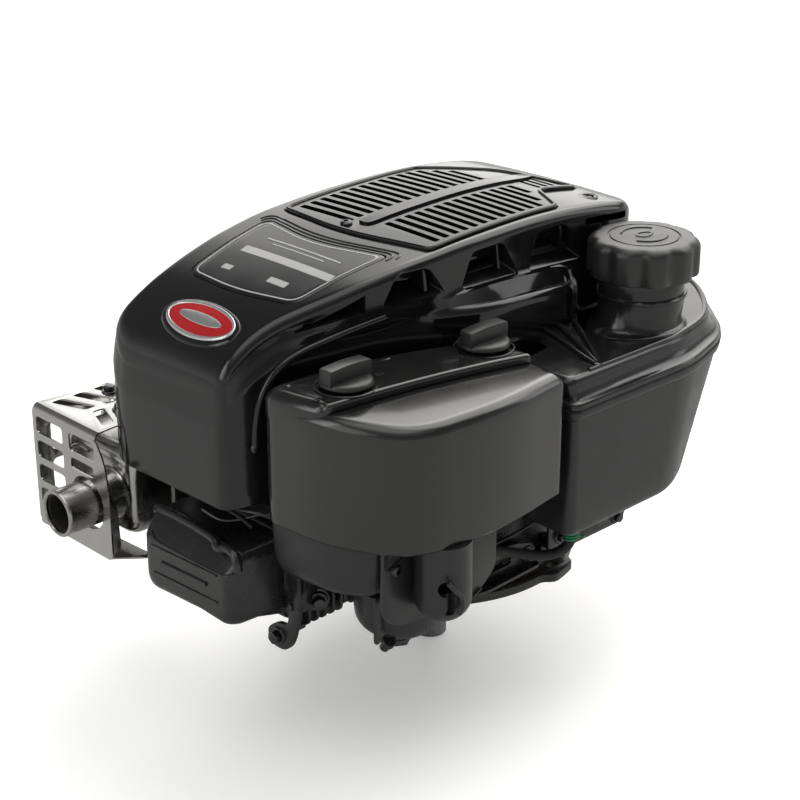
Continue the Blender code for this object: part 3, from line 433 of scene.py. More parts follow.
GLOSS = finish("gloss_black_moulding", "gloss_black", color=(0.0055, 0.0055, 0.0058),
               rough=0.115, vary=0.02, bump=0.03, grain=260, relief=0.0002)
TANK = finish("tank_moulding", "gloss_black", color=(0.0115, 0.0115, 0.0118),
              rough=0.17, vary=0.03, bump=0.04, grain=300, relief=0.0002)
SATIN = finish("satin_black_moulding", "satin_black", color=(0.0125, 0.0125, 0.013),
               rough=0.33, vary=0.05, bump=0.2, grain=900, relief=0.0002)
KNOB = finish("textured_grey_moulding", "knob_grey", color=(0.0155, 0.0152, 0.015),
              rough=0.36, vary=0.05, bump=0.35, grain=1500, relief=0.0002)
CAST = finish("black_painted_casting", "black_casting", color=(0.0100, 0.0098, 0.0096),
              rough=0.31, vary=0.08, bump=0.6, grain=520, relief=0.0004)
ENAMEL = finish("black_enamel_steel", "black_steel", color=(0.0115, 0.0115, 0.0118),
                rough=0.26, vary=0.05, bump=0.2, grain=420, relief=0.0002)
ALLOY = finish("cast_alloy", None, color=(0.42, 0.42, 0.43), metal=1.0,
               rough=0.42, vary=0.1, bump=0.5, grain=700, relief=0.0003)
DARK_ALLOY = finish("dull_alloy", "bare_alloy", color=(0.09, 0.09, 0.092), metal=1.0,
                    rough=0.44, vary=0.1, bump=0.5, grain=700, relief=0.0003)
STEEL = finish("machined_steel", "machined_steel", color=(0.46, 0.46, 0.47), metal=1.0,
               rough=0.28, vary=0.07, bump=0.25, grain=600, stretch=(1, 1, 12))
ZINC = finish("dark_plated_steel", "machined_steel", color=(0.075, 0.075, 0.078), metal=1.0,
              rough=0.33, vary=0.08, bump=0.3, grain=700)
BRUSHED = dict(metal=1.0, bump=0.05, stretch=(0.05, 1, 1), relief=0.00005, streak=0.8)
STAINLESS = finish("brushed_stainless", "stainless", color=(0.43, 0.425, 0.415),
                   rough=0.21, vary=0.04, grain=420, spread=0.05, **BRUSHED)
TINTED = finish("heat_tinted_steel", "stainless", color=(0.36, 0.35, 0.335),
                rough=0.25, vary=0.05, grain=500, spread=0.10, **BRUSHED)
# Near-black finish for the outlet pipe's inside: painted shade for its shaded depth
PIPE_SHADE = finish("painted_shade_in_pipe", "stainless", color=(0.012, 0.011, 0.010),
              rough=0.75, vary=0.1, bump=0.6, grain=300, relief=0.0004)
IRON = finish("cast_iron", None, color=(0.14, 0.14, 0.14), metal=1.0,
              rough=0.5, vary=0.1, bump=0.6, grain=500, relief=0.0003)
RUBBER = finish("black_rubber", "black_rubber", color=(0.014, 0.014, 0.014), spec=0.35,
                rough=0.62, vary=0.08, bump=0.4, grain=700, relief=0.0002)
GREEN = finish("green_coated_clamp", "clamp_green", color=(0.012, 0.16, 0.075),
               rough=0.34, vary=0.06, bump=0.2, grain=600)
PAPER = finish("pleated_paper", "machined_steel", color=(0.66, 0.58, 0.42),
               rough=0.85, vary=0.06, bump=0.5, grain=500, relief=0.0003)
CERAMIC = finish("glazed_insulator", None, color=(0.82, 0.82, 0.8),
                 rough=0.12, vary=0.03, bump=0.05, grain=200, coat=0.4)
FACE = finish("printed_face", "plate_print", color=(0.007, 0.0072, 0.008),
              rough=0.20, vary=0.04, bump=0.1, grain=600)
SILVER = finish("printed_silver", "badge_metal", color=(0.55, 0.55, 0.56), metal=0.9,
                rough=0.30, vary=0.05, bump=0.12, grain=800)
PRINT = finish("pale_print", "plate_print", color=(0.34, 0.34, 0.34),
               rough=0.38, vary=0.05, bump=0.1, grain=800)
RED = finish("badge_enamel", "badge_metal", color=(0.36, 0.006, 0.008),
             rough=0.24, vary=0.03, bump=0.05, grain=300, coat=0.5)
LID = finish("satin_lid_moulding", "gloss_black", color=(0.0085, 0.0084, 0.0082),
             rough=0.19, vary=0.02, bump=0.02, grain=300, relief=0.0002, coat=0.3)
DARK = finish("shadowed_inside", "satin_black", color=(0.004, 0.004, 0.004),
              rough=0.7, vary=0.1, bump=0.3, grain=300)


def dress(mesh, material, sharp):
    mesh.materials.clear()
    mesh.materials.append(material)
    for poly in mesh.polygons:
        poly.material_index = 0
    mesh.shade_smooth()
    mesh.set_sharp_from_angle(angle=math.radians(sharp))


def piece(obj, name, material, replaces=None, body=ENGINE, sharp=35):
    """Names a finished shape, moves it to the shared frame and lets it ride on a body."""
    obj.name = name
    obj.data.name = name
    obj.data.transform(TO_WORLD)
    dress(obj.data, material, sharp)
    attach(obj, body)
    if replaces:
        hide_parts(replaces)


def hexbolt(at, axis, r, h):
    """Flange-headed hexagon bolt standing on a place, along an axis."""
    a, p = Vector(axis).normalized(), Vector(at)
    return group(rod(r * 1.45, p - a * 1.0, p + a * 1.2, end_radius=r * 1.3, edge=0.3),
                 soft(rod(r, p + a * 0.4, p + a * (h + 1.2), seg=6), r * 0.12, 2, 25))


def bolts(name, places):
    """One piece from (at, axis, radius, height) bolts."""
    piece(group(*[hexbolt(*place) for place in places]), name, ZINC)


def screw(name, at, axis, r, h):
    """Low pan-head screw with a star recess."""
    head = turned([(0, h), (r * 0.45, h * 0.97), (r * 0.8, h * 0.75), (r, h * 0.2), (r, -1.5),
                   (0, -1.5)], 40)
    star = []
    for i in range(36):
        t = 2 * math.pi * i / 36
        q = r * (0.42 + 0.09 * math.cos(6 * t))
        star.append((q * math.cos(t), q * math.sin(t)))
    cut(head, plate([star], h - 1.4, h + 3))
    head.data.transform(facing(at, Vector(axis).normalized()))
    piece(head, name, ZINC)


# ================================================================ shroud
# Top line along X: (x, z)
crown_line = smooth_curve([
    (-216.5, 186), (-214.5, 193), (-211, 200), (-205, 207.5), (-197, 214), (-185, 221.5),
    (-170, 229), (-140, 240.6), (-115, 248.4), (-75, 256.4), (-20, 260.6), (30, 261.8),
    (60, 261), (100, 257.5), (127, 253), (150, 245.5), (164, 238.5)])
# Outlines from above: (x, y, corner radius)
RIDGE = [(-214, -26, 8), (-180, -30, 14), (-128, -56, 26), (-84, -68, 20), (-30, -70, 10),
         (48, -70, 6), (66, -70, 6), (132, -70, 14), (161, -42, 18), (163, 60, 26),
         (132, 90, 20), (-74, 94, 30), (-150, 98, 20), (-206, 98, 12), (-216, 80, 12)]
SKIRT = [(-216, -28, 8), (-186, -38, 14), (-140, -50, 26), (-92, -60, 20), (-30, -87, 18),
         (52, -87, 10), (66, -76, 8), (134, -75, 12), (165, -48, 18), (167, 62, 26),
         (134, 98, 20), (-74, 101, 30), (-150, 101, 20), (-208, 100, 12), (-218, 82, 12)]
GRILLE = [(-64, -62, 7), (64, -62, 6), (84, -26, 7), (124, -29, 7), (107, 38, 12), (58, 79, 8),
          (-72, 80, 8), (-80, 8, 60)]
PLATE = [(-160, 74, 10), (-164, 22, 60), (-156, -31, 11), (-85, -45, 8), (-98, 16, 50),
         (-88, 74, 9)]
STEPS = (7, 9)                  # outline steps per corner and per side
CREST = 6.5                     # rounding between ridge wall and top
SHROUD_MID = (-16.0, 12.0)
skirt_ring, ridge_ring = rounded(SKIRT, *STEPS), rounded(RIDGE, *STEPS)


def crown(x, y):
    """Height of the shroud's top skin."""
    return crown_line(x) - 0.00030 * (y - 12) ** 2 - 1.2


def on_crown(ring, rise=0.0):
    return lift(ring, lambda x, y: crown(x, y) + rise)


def crown_point(x, y, rise=0.0):
    return (x, y, crown(x, y) + rise)


def ledge(x):
    return min(204 + 12 * max(0.0, 1 - ((x + 50) / 150) ** 2), crown_line(x) - 18)


def foot(x):
    return 108 - 4 * max(0.0, (-150 - x) / 66)


def shelf_rings():
    """Fifteen rings across the shelf between skirt and ridge."""
    spans = [(s, r, max((Vector(r) - Vector(s)).length, 0.01))
             for s, r in zip(skirt_ring, ridge_ring)]
    fade = [ease((length - 6.0) / 9.0) for _, _, length in spans]
    for _ in range(40):                     # eased round the outline, so the fade has no steps
        fade = [(fade[i - 1] + 2 * fade[i] + fade[(i + 1) % len(fade)]) / 4
                for i in range(len(fade))]
    out = []
    for k in range(15):
        ring = []
        for (s, r, length), q in zip(spans, fade):
            big, small = min(6.0, 0.45 * length), min(5.0, 0.40 * length)
            base = ledge(s[0])
            if k <= 5:                      # outer round-over
                a = math.pi / 2 * k / 5
                w, z = big * (1 - math.cos(a)), base - big + big * math.sin(a)
            elif k <= 9:                    # gently rising band
                t = (k - 5) / 4
                w, z = big + (length - big - small) * t, base + 9.5 * t
            else:                           # inner cove up to the wall
                a = math.pi / 2 * (k - 9) / 5
                w = length - small + small * math.sin(a)
                z = base + 9.5 + small * (1 - math.cos(a))
            # the shelf fades out where skirt and ridge run close together
            w = w * q + length * k / 14 * (1 - q)
            z = z * q + (base - 6 + 19 * k / 14) * (1 - q)
            ring.append((s[0] + (r[0] - s[0]) * w / length, s[1] + (r[1] - s[1]) * w / length,
                         min(z, crown(*r) - CREST - 1.0 - 0.9 * (14 - k))))
        out.append(ring)
    return out


rings = [lift(inset(SKIRT, 1.2, *STEPS), lambda x, y: foot(x) + 0.1),
         lift(skirt_ring, lambda x, y: foot(x) + 1.4),
         lift(skirt_ring, lambda x, y: foot(x) + 20),
         lift(skirt_ring, lambda x, y: (foot(x) + ledge(x)) / 2),
         lift(skirt_ring, lambda x, y: ledge(x) - 9)]
rings += shelf_rings()
for t in (0.25, 0.5, 0.75):
    rings.append([(x, y, min(ledge(x) + 15.5, crown(x, y) - CREST - 1.0) * (1 - t)
                   + (crown(x, y) - CREST) * t) for x, y in ridge_ring])
rings.append(on_crown(ridge_ring, -CREST))
for sine, rest in quarter_steps(6):
    rings.append(on_crown(inset(RIDGE, CREST * rest, *STEPS), -CREST + CREST * sine))
top_edge = inset(RIDGE, CREST + 1.5, *STEPS)
rings.append(on_crown(top_edge))
rings += [on_crown(toward(top_edge, SHROUD_MID, (k / 34.0) ** 0.9)) for k in range(1, 34)]
shroud = thick(skin(rings, tip=crown_point(*SHROUD_MID)), 2.2)

# Recesses for the grille's rim, the grille's well and the model plate
for ring, depth, top in ((rounded(GRILLE, 6, 10), -1.7, 275), (inset(GRILLE, 7, 6, 10), -12, 276),
                         (inset(PLATE, -1.0, 6, 8), -1.3, 268)):
    cut(shroud, solid([on_crown(ring, depth), lift(ring, top)]))

# Scoops in the near wall: a ramp that deepens away from the nose, then three deep pockets
near_wall = sorted((p for p in ridge_ring if p[1] < -20), key=lambda p: p[0])


def wall_y(x):
    """Where the ridge wall stands at this x, on the near side."""
    for a, b in zip(near_wall, near_wall[1:]):
        if a[0] <= x <= b[0] and b[0] - a[0] > 0.01:
            return a[1] + (b[1] - a[1]) * (x - a[0]) / (b[0] - a[0])
    return near_wall[-1][1]


sections = []
for k in range(17):
    t = k / 16
    x = -163 + 44 * t
    y = wall_y(x)
    low, high = 218.3 + 7.6 * t, 219.6 + 18.4 * t
    deep = 0.6 + 9.5 * t
    sections.append([(x, y - 6, low - 1.5), (x, y + 0.1, low),
                     (x, y + 0.3 + deep, low + 0.35 * (high - low)),
                     (x, y + 0.3 + deep * 0.92, low + 0.8 * (high - low)),
                     (x, y + 0.1, high), (x, y - 6, high + 1.0)])
cut(shroud, solid(sections))
bm = bmesh.new()
rows = [[bm.verts.new(p) for p in section[1:5]] for section in sections[4:]]
for a, b in zip(rows, rows[1:]):
    for i in range(3):
        bm.faces.new((a[i], a[i + 1], b[i + 1], b[i]))
bm.faces.new(rows[-1])
cups, cup_ribs = [thick(from_bm(bm), 0.9, offset=0)], []

# (mouth corners, floor corners) as (x, z, radius), then the rib's x
POCKETS = [([(-108, 227, 4), (-57, 227.5, 4), (-72, 248.6, 6), (-97, 248, 6)],
            [(-97, 236, 3), (-65, 236, 3), (-73, 246.5, 4), (-92, 246, 4)], -73.5),
           ([(-43, 225.5, 4), (13, 224, 4), (-3, 250.6, 6), (-33, 250, 6)],
            [(-31, 236, 3), (4, 235.5, 3), (-4, 248.6, 4), (-28, 248, 4)], -5.5),
           ([(22, 223, 4), (79, 219.5, 4), (61, 250, 6), (31, 249.6, 6)],
            [(34, 234, 3), (71, 232, 3), (61, 248, 4), (36, 247.6, 4)], 58.6)]
for mouth, floor_corners, rib_x in POCKETS:
    pairs = list(zip(rounded(mouth, 6, 3), rounded(floor_corners, 6, 3)))
    inner = [[(x + (u - x) * t ** 0.8, wall_y(x) + 0.4 + 17 * t, z + (w - z) * t)
              for (x, z), (u, w) in pairs] for t in (0, 0.15, 0.35, 0.6, 0.85, 1)]
    cut(shroud, solid([[(x, wall_y(x) - 8, z) for (x, z), _ in pairs]] + inner))
    cups.append(thick(skin(inner, False, True), 0.9, offset=0))
    y, sill, head = wall_y(rib_x), floor_corners[0][1], mouth[2][1]
    cup_ribs.append(plate([rounded([(y + 0.8, sill - 5, 1), (y + 17, sill + 1, 1),
                                    (y + 17, head - 1, 1), (y + 3.2, head - 0.4, 3)], 4, 1)],
                          rib_x - 1.2, rib_x + 1.2, "X", edge=0.5))
slot_cut = box((82, -78, 241.5), (128, -62, 246.5), 1.5)
for v in slot_cut.data.vertices:
    v.co.z += (v.co.x - 82) * -0.085 + 1.5
cut(shroud, slot_cut)
piece(shroud, "shroud_shell", GLOSS, "blower_housing", sharp=30)
piece(group(*cups), "scoop_pockets", GLOSS)
piece(group(*cup_ribs), "scoop_ribs", GLOSS)

# Dark liner that closes the inside: a sheet of painted shade where the shroud's inside lies in
# shade
liner = skin([lift(inset(RIDGE, 9, *STEPS), 150), on_crown(inset(RIDGE, 9, *STEPS), -26),
              on_crown(inset(RIDGE, 34, *STEPS), -22)], False, True)
piece(thick(liner, 1.0), "shroud_inside_shade_sheet", DARK)

# Two low ridges that follow the model plate's edge on the grille side
ridges = []
for out in (3.4, 6.6):
    ring = inset(PLATE, -out, 6, 8)
    x_max = max(q[0] for q in ring)
    part = [q for q in ring if q[0] > x_max - 24]
    gap = max(range(len(part)), key=lambda i: math.dist(part[i - 1], part[i]))
    part = part[gap:] + part[:gap]
    ridges.append(tube(on_crown(part[2:-2], -0.1), 0.75, 2))
piece(group(*ridges), "plate_edge_ridges", GLOSS)

# Bead along the shelf's nose end and down the near face beside the air cleaner
piece(tube([(-104, -60.5, 219.5), (-131, -53.6, 214.5), (-163, -45.2, 206.5),
            (-178, -41.2, 199), (-186, -39.3, 190.5), (-192.5, -37.8, 178),
            (-195.5, -36.8, 163), (-196.3, -36.4, 150)], 2.7, 9), "shroud_front_bead", GLOSS)
screw("shroud_side_screw", (-197.0, -37.2, 147.5), (-0.35, -0.94, 0), 3.4, 1.8)


# ---------------------------------------------------------------- grille
def bent(obj, rise):
    """Lays a flat shape on the top skin."""
    for v in obj.data.vertices:
        v.co.z += crown(v.co.x, v.co.y) + rise
    return obj


def dense(obj):
    """Splits long edges so that a flat shape can bend."""
    with editing(obj) as bm:
        for _ in range(3):
            edges = [e for e in bm.edges if e.calc_length() > 9]
            if not edges:
                break
            bmesh.ops.subdivide_edges(bm, edges=edges, cuts=1)
            bmesh.ops.triangulate(bm, faces=[f for f in bm.faces if len(f.verts) > 4])
    return obj


PITCH, SLOT = 9.3, 5.5          # slot spacing and width
NEAR_START, NEAR_END = -54, -4.5
holes = []


def add_slot(x, y0, y1, width=SLOT):
    holes.append(rect(x, x + width, y0, y1, 1.6, 4, 4))


for i in range(14):             # near row, shortened along the slanted corner
    x = -52 + i * PITCH
    if x + SLOT < 64:
        add_slot(x, NEAR_START, NEAR_END)
    elif x + SLOT < 82:
        add_slot(x, NEAR_START + (x + SLOT - 62) * 1.9 + 4, NEAR_END)
for i in range(15):             # far row
    x = -63 + i * PITCH
    if x + SLOT < 96:
        add_slot(x, 18, 70 if x + SLOT < 52 else 70 - (x + SLOT - 52) * 0.85)
for i in range(4):              # narrow slots at the +X corner
    x = 88 + i * 7.6
    add_slot(x, -20 + i * 0.5, 8 if x < 100 else 12, 4.2)
grille = plate([inset(GRILLE, 0.9, 8, 12)] + holes, -2.6, 0.0)
bent(soft(dense(grille), 0.45, 2, 50), 1.1)
rim = skin([on_crown(inset(GRILLE, d, 8, 14), rise) for d, rise in (
    (1.2, 0.2), (1.4, 1.8), (2.2, 2.5), (3.4, 2.5), (4.4, 1.5), (4.4, -0.5))])
spine = plate([rounded([(-60, 4, 3), (-54, 2, 5), (96, 2.5, 4), (110, 6, 3), (110, 11, 3),
                        (96, 14.5, 4), (-54, 14.5, 5), (-60, 12.5, 3)], 5, 10)], -0.5, 1.4)
bent(soft(dense(spine), 0.7, 3, 50), 1.3)
piece(group(grille, rim, spine), "top_grille", GLOSS, "grille_panel", sharp=30)
# Dark sheet under the grille's slots: painted shade for the inside seen through them
piece(bent(dense(plate([inset(GRILLE, 3, 6, 10)], -0.4, 0.4)), -13), "grille_shade_sheet", DARK)
screw("grille_screw", crown_point(-66.5, 17, 1.6), (-0.08, 0, 1), 4.3, 1.8)
REAR_SCREW = (108, -49)
piece(turned([(4.6, 0.4), (6.4, 0.9), (7.6, 0.2), (7.8, -1.5), (4.6, -1.5)], 48,
             crown_point(*REAR_SCREW)), "rear_screw_collar", GLOSS)
screw("rear_screw", crown_point(*REAR_SCREW, -0.6), (0.1, 0, 1), 3.9, 1.0)

# ---------------------------------------------------------------- model plate and nose badge
PLATE_MID = (-125, 18)
plate_rim = inset(PLATE, 0.5, 6, 8)
piece(solid([on_crown(rounded(PLATE, 6, 8), -1.2), on_crown(rounded(PLATE, 6, 8), -0.25),
             on_crown(plate_rim, 0.1)]
            + [on_crown(toward(plate_rim, PLATE_MID, t), 0.1)
               for t in (0.12, 0.25, 0.4, 0.55, 0.7, 0.85)], crown_point(*PLATE_MID, 0.1)),
      "model_plate_face", FACE, "model_plate")
trim = [skin([on_crown(inset(PLATE, d, 6, 8), rise)
              for d, rise in ((2.6, -0.3), (2.6, 0.28), (3.6, 0.28), (3.6, -0.3))])]
for x0, x1, y0, y1 in ((-128.5, -122.0, -33, 56), (-148, -143.5, 44, 53),
                       (-146.5, -141.5, -10, 8), (-109.5, -108.3, -24, 50),
                       (-113.5, -112.6, -12, 40)):
    trim.append(bent(dense(plate([rect(x0, x1, y0, y1, 0.6, 3, 12)], 0, 0.35)), 0.1))
piece(group(*trim), "model_plate_trim", PRINT)

BADGE = (-191.0, 22.0)


def ovals(stations):
    """Badge rings from (half size in x, half size in y, rise above the top skin)."""
    return [on_crown([(BADGE[0] + a * x, BADGE[1] + b * y) for x, y in circle(0, 0, 1, 72)], rise)
            for a, b, rise in stations]


piece(solid(ovals([(14.5, 38, -2), (14.0, 37.4, 0.8), (12.8, 36, 1.4)]
                  + [(12.8 * t, 36 * t, 1.4) for t in (0.8, 0.6, 0.4, 0.2)]),
            crown_point(*BADGE, 1.4)), "badge_pad", GLOSS)
piece(skin(ovals([(11.8, 33.5, 1.0), (11.6, 33.2, 2.2), (11.0, 32.4, 2.6), (10.2, 31.4, 2.6),
                  (9.7, 30.8, 2.1), (9.7, 30.8, 1.0)])), "badge_rim", SILVER, "nose_badge")
piece(solid(ovals([(9.9, 31, 1.3)] + [(9.8 * t, 30.9 * t, 1.9 + 0.5 * (1 - t * t))
                                      for t in (1, 0.75, 0.5, 0.25)]),
            crown_point(*BADGE, 2.4)), "badge_face", RED)
piece(solid(ovals([(3.6, 21, 2.0), (3.5, 20.9, 2.75), (2.9, 20, 2.95)])), "badge_stripe", SILVER)

# ================================================================ air cleaner cover
# Full outline and the raised part's outline: (x, y, corner radius)
COVER = [(-202, -46, 16), (-198, -108, 34), (-170, -158, 26), (-100, -166, 60), (-32, -156, 7),
         (-34, -90, 8), (-62, -80, 14), (-104, -66, 22), (-164, -52, 20)]
HIGH = [(-202, -46, 16), (-200.2, -76, 12), (-195.0, -100.8, 9), (-34.2, -130.8, 7)] + COVER[5:]
ROUND, CRISP = 8.5, 2.4         # rim radius, and its radius along the step
KNOBS = [("knob_front", -163.0, -87.0), ("knob_rear", -53.0, -101.0)]


def cover_in(d):
    return inset(COVER, d, 9, 12)


def high_in(d):
    return inset(HIGH, d + 0.15, 9, 12)


def step_y(x):
    """Line of the step between the low near part and the raised part."""
    return -106.5 - 0.187 * (x + 173.5)


def high_z(x, y):
    return 197.6 - 0.00035 * ((x + 112) ** 2 + (y + 95) ** 2 * 0.6)


def low_z(x, y):
    return high_z(x, y) - 6.2 - 2.4 * max(0.0, step_y(x) - y - 4) / 40


def on_step(x, y):
    """How far a point belongs to the step, from 0 to 1."""
    away = abs(step_y(x) - y)
    if -192 < x < -38:
        return 1.0 - ease((away - 1.6) / 5.0)
    return 0.35 * (1.0 - ease((away - 2.0) / 8.0))


def rim_rings(outline, height, crisp=lambda x, y: 0.0):
    """Rings over a rounded rim: outline(d) gives the outline moved inwards by d."""
    flat, full, small = outline(0), outline(ROUND), outline(CRISP)
    out = []
    for sine, rest in quarter_steps(10, 0):
        ring = []
        for p, q, r in zip(flat, full, small):
            w = crisp(*p)
            x, y = [p[i] + ((q[i] - p[i]) * (1 - w) + (r[i] - p[i]) * w) * rest for i in (0, 1)]
            ring.append((x, y, height(x, y) - (ROUND * (1 - w) + CRISP * w) * (1 - sine)))
        out.append(ring)
    return out


def closed_deck(rings, height, mid):
    """Skin whose last ring closes over a deck to the middle point."""
    deck = [lift(toward(rings[-1], mid, k / 26), height) for k in range(1, 26)]
    return skin(rings + deck, tip=(*mid, height(*mid)))


cover = [lift(cover_in(d), z) for d, z in ((1.3, 102.2), (0.1, 103.6), (0, 125), (0, 150),
                                           (0, 172))]
cover = thick(closed_deck(cover + rim_rings(cover_in, low_z), low_z, (-112.0, -112.0)), 2.2)
rim = rim_rings(high_in, high_z, on_step)
rings = [[(x, y, z - 9.0 + 6.0 * on_step(x, y)) for x, y, z in rim[0]]] + rim
flat = high_in(0)
for d, dip in ((ROUND + 1.2, -0.1), (ROUND + 1.8, -0.9), (ROUND + 2.6, -0.9), (ROUND + 3.2, -0.1),
               (ROUND + 4.5, 0.0)):      # shallow groove inside the rim
    ring = []
    for start, p, q in zip(flat, rim[-1], high_in(d)):
        w = on_step(*start)
        x, y = [q[i] * (1 - w) + (p[i] + (q[i] - p[i]) * 0.4) * w for i in (0, 1)]
        fade = ease((y + 112) / 22) * ease((-100 - x) / 26)
        ring.append((x, y, high_z(x, y) + dip * fade * (1 - w)))
    rings.append(ring)
high = thick(closed_deck(rings, high_z, (-118.0, -90.0)), 2.0)
for _, x, y in KNOBS:
    for shell in (cover, high):
        cut(shell, rod(5.6, (x, y, 180), (x, y, 205), seg=32))
piece(group(cover, high), "air_cleaner_shell", LID, "air_cleaner_cover",
      "air_cleaner_cover", sharp=30)

for number, (name, x, y) in enumerate(KNOBS, 1):
    z = high_z(x, y)
    seat = [turned([(20.4, z - 0.6), (20.4, z + 0.25), (19.9, z + 0.45), (19.4, z + 0.2),
                    (19.4, z - 0.6)], 72, (x, y, 0))]
    for mark_x in (x - 26, x + 26):      # small framed marks on both sides
        mark_y = y - 3
        z = high_z(mark_x, mark_y)
        seat.append(plate([rect(mark_x - w, mark_x + w, mark_y - h, mark_y + h, r)
                           for w, h, r in ((3.0, 1.7, 0.7), (2.1, 0.9, 0.4))], z - 0.3, z + 0.45))
    piece(group(*seat), "knob_seat_%d" % number, KNOB, body="air_cleaner_cover")
    base = turned([(0, 202.4), (14.5, 202.4), (16.6, 201.8), (17.6, 200.6), (17.8, 199.4),
                   (17.6, 198.6), (16.5, 198.1), (5, 198.0), (5, 168), (0, 168)], 72, (x, y, 0))
    blade = plate([rounded([(x - 17.6, 200.6, 1), (x + 17.6, 200.6, 1), (x + 17.4, 211.2, 1.2),
                            (x, 212.4, 30), (x - 17.4, 211.2, 1.2)], 7, 4)],
                  y - 5.1, y + 5.1, "Y", edge=0.8, seg=3, angle=40)
    lug = box((x - 12, y - 3, 166), (x + 12, y + 3, 171), 0.6, 1)
    piece(group(base, blade, lug), "knob_%d" % number, KNOB, name, name)

# ================================================================ air cleaner base
TUB = [(-200, -50, 8), (-196, -102, 26), (-178, -127, 20), (-156, -131.5, 8), (-155, -122, 4),
       (-158, -114, 6), (-158, -56, 8), (-176, -50, 8)]
tray = solid([lift(cover_in(d), z) for d, z in ((4.6, 101.0), (3.4, 101.5), (3.0, 102.6),
                                                (3.0, 112.4))])
tub = solid([lift(inset(TUB, d, 8, 5), z) for d, z in (
    (14, 61.0), (10.5, 61.9), (7, 64.4), (4.2, 68.5), (2.2, 75), (1.0, 86), (0.4, 103.0))])
front_shield = plate([rounded([(-175, 103, 1), (-175.5, 55, 9), (-167, 44, 9), (-120, 38, 7),
                               (-112.5, 46, 6), (-112.5, 103, 1)], 8, 3)],
                     -133.4, -130.4, "Y", edge=0.8)
dome = [(19 * math.cos(math.radians(a)), 62 - 17 * math.sin(math.radians(a)))
        for a in range(8, 90, 8)]
duct = turned([(0, 103), (19, 103), (19, 62)] + dome + [(0, 45)], at=(-136, -147, 0))
cut(duct, rod(5.6, (-152, -168, 75), (-139, -150, 75), seg=32),
    box((-147.5, -175, 56), (-142.5, -158, 75), 0.8))
shield = plate([rounded([(-150.5, 49.5, 9), (-121, 49.5, 9), (-106, 56, 12), (-92, 68, 6),
                         (-92, 104, 2), (-150.5, 104, 2)], 8, 3)], -152, -148.4, "Y", edge=0.8)
hook = tube([(-150, -165.4, 82), (-146, -168.4, 76), (-141, -169.2, 70), (-139.5, -168.6, 63),
             (-143, -168.0, 58)], 1.7)
piece(group(tray, tub, duct, shield, front_shield, hook), "air_cleaner_tub", SATIN,
      "air_cleaner_base", sharp=32)
# Thin dark line round the clip: painted shade in the gap at its edge
piece(tube([(-157, -134.0, 99.5), (-170, -134.0, 99.0), (-173, -134.0, 97), (-173, -134.0, 88.5),
            (-168, -134.0, 87.5), (-152, -134.0, 95)], 0.7, 4), "tub_clip_shade_line", DARK)
screw("tub_screw", (-164.5, -133.4, 84), (0, -1, 0), 4.4, 2.4)
piece(tube([(-150.8, -152.6, 100), (-151.0, -152.7, 62), (-148, -152.8, 53), (-141, -152.8, 50.2),
            (-122, -152.8, 50.6), (-106, -152.8, 57)], 0.75, 5), "shield_edge", SATIN)

# ================================================================ carburettor
CARB = (CARB_X, CARB_Y) = (-126.0, -96.0)
BORE_Z = 79
top = turned([(0, 66.6), (20.6, 66.6), (22.4, 65.8), (22.4, 62.6), (21.6, 62.0), (0, 62.0)],
             72, (*CARB, 0))
venturi = group(rod(15.4, (CARB_X, CARB_Y - 23.4, BORE_Z), (CARB_X, CARB_Y + 22, BORE_Z),
                    seg=48, edge=1.0),
                box((CARB_X - 19, CARB_Y - 20, 65.5), (CARB_X + 19, CARB_Y + 18, 95), 3.0, 4))
cut(venturi, rod(10.2, (CARB_X, CARB_Y - 30, BORE_Z), (CARB_X, CARB_Y + 30, BORE_Z), seg=48))
side_stem = rod(3.2, (CARB_X - 22, CARB_Y - 6, 88), (CARB_X - 17, CARB_Y - 6, 88), seg=24,
                edge=0.4)
side_hex = rod(4.6, (CARB_X - 26, CARB_Y - 6, 88), (CARB_X - 21, CARB_Y - 6, 88), seg=6, edge=0.5)
piece(group(top, venturi, side_stem, side_hex), "carburetor_casting", DARK_ALLOY,
      "carburetor_body")

profile = [(30.2, 61.7), (31.8, 60.9), (32.4, 59.2), (32.0, 57.4), (31.2, 56.6)]
profile += [(31.2 - 0.2 * k, 56.6 - 4.4 * k) for k in range(1, 7)]
profile += [(30.0 * math.cos(math.radians(a)) ** 0.8, 30.0 - 19.5 * math.sin(math.radians(a)))
            for a in range(8, 74, 8)]
profile += [(10.5, 9.4), (8.5, 7.6), (5.3, 7.4), (5.3, 11.0), (12, 12.6), (28, 31), (28.6, 61.7)]
piece(turned(profile, 96, (*CARB, 0)), "float_bowl_shell", ENAMEL, "float_bowl")
drain = turned([(0, 0), (4.4, 0), (4.8, -0.6), (4.8, -3.4), (3.4, -4.2), (3.4, -9), (2.6, -9.6),
                (0, -9.6)], 40)
drain.data.transform(Matrix.Translation((CARB_X - 21, CARB_Y - 13, 16))
                     @ Matrix.Rotation(math.radians(35), 4, "X"))
piece(group(soft(rod(8.2, (*CARB, 1.6), (*CARB, 6.4), seg=6), 0.9, 3, 25),
            rod(9.6, (*CARB, 6.0), (*CARB, 7.5), seg=48, edge=0.3),
            turned([(0, 2.6), (4.4, 2.6), (4.4, 1.6), (3.2, 0.9), (0, 0.7)], 40, (*CARB, 0))),
      "bowl_nut_head", ZINC, "bowl_nut")
piece(drain, "bowl_drain", ENAMEL)
piece(plate([rounded([(CARB_X - 34.5, 18, 3), (CARB_X - 30, 18, 3), (CARB_X - 25.5, 26, 3),
                      (CARB_X - 25.5, 57, 2), (CARB_X - 34.5, 57, 2)], 5, 2)],
            CARB_Y - 14, CARB_Y - 12.2, "Y", edge=0.5), "bowl_bracket", ENAMEL)


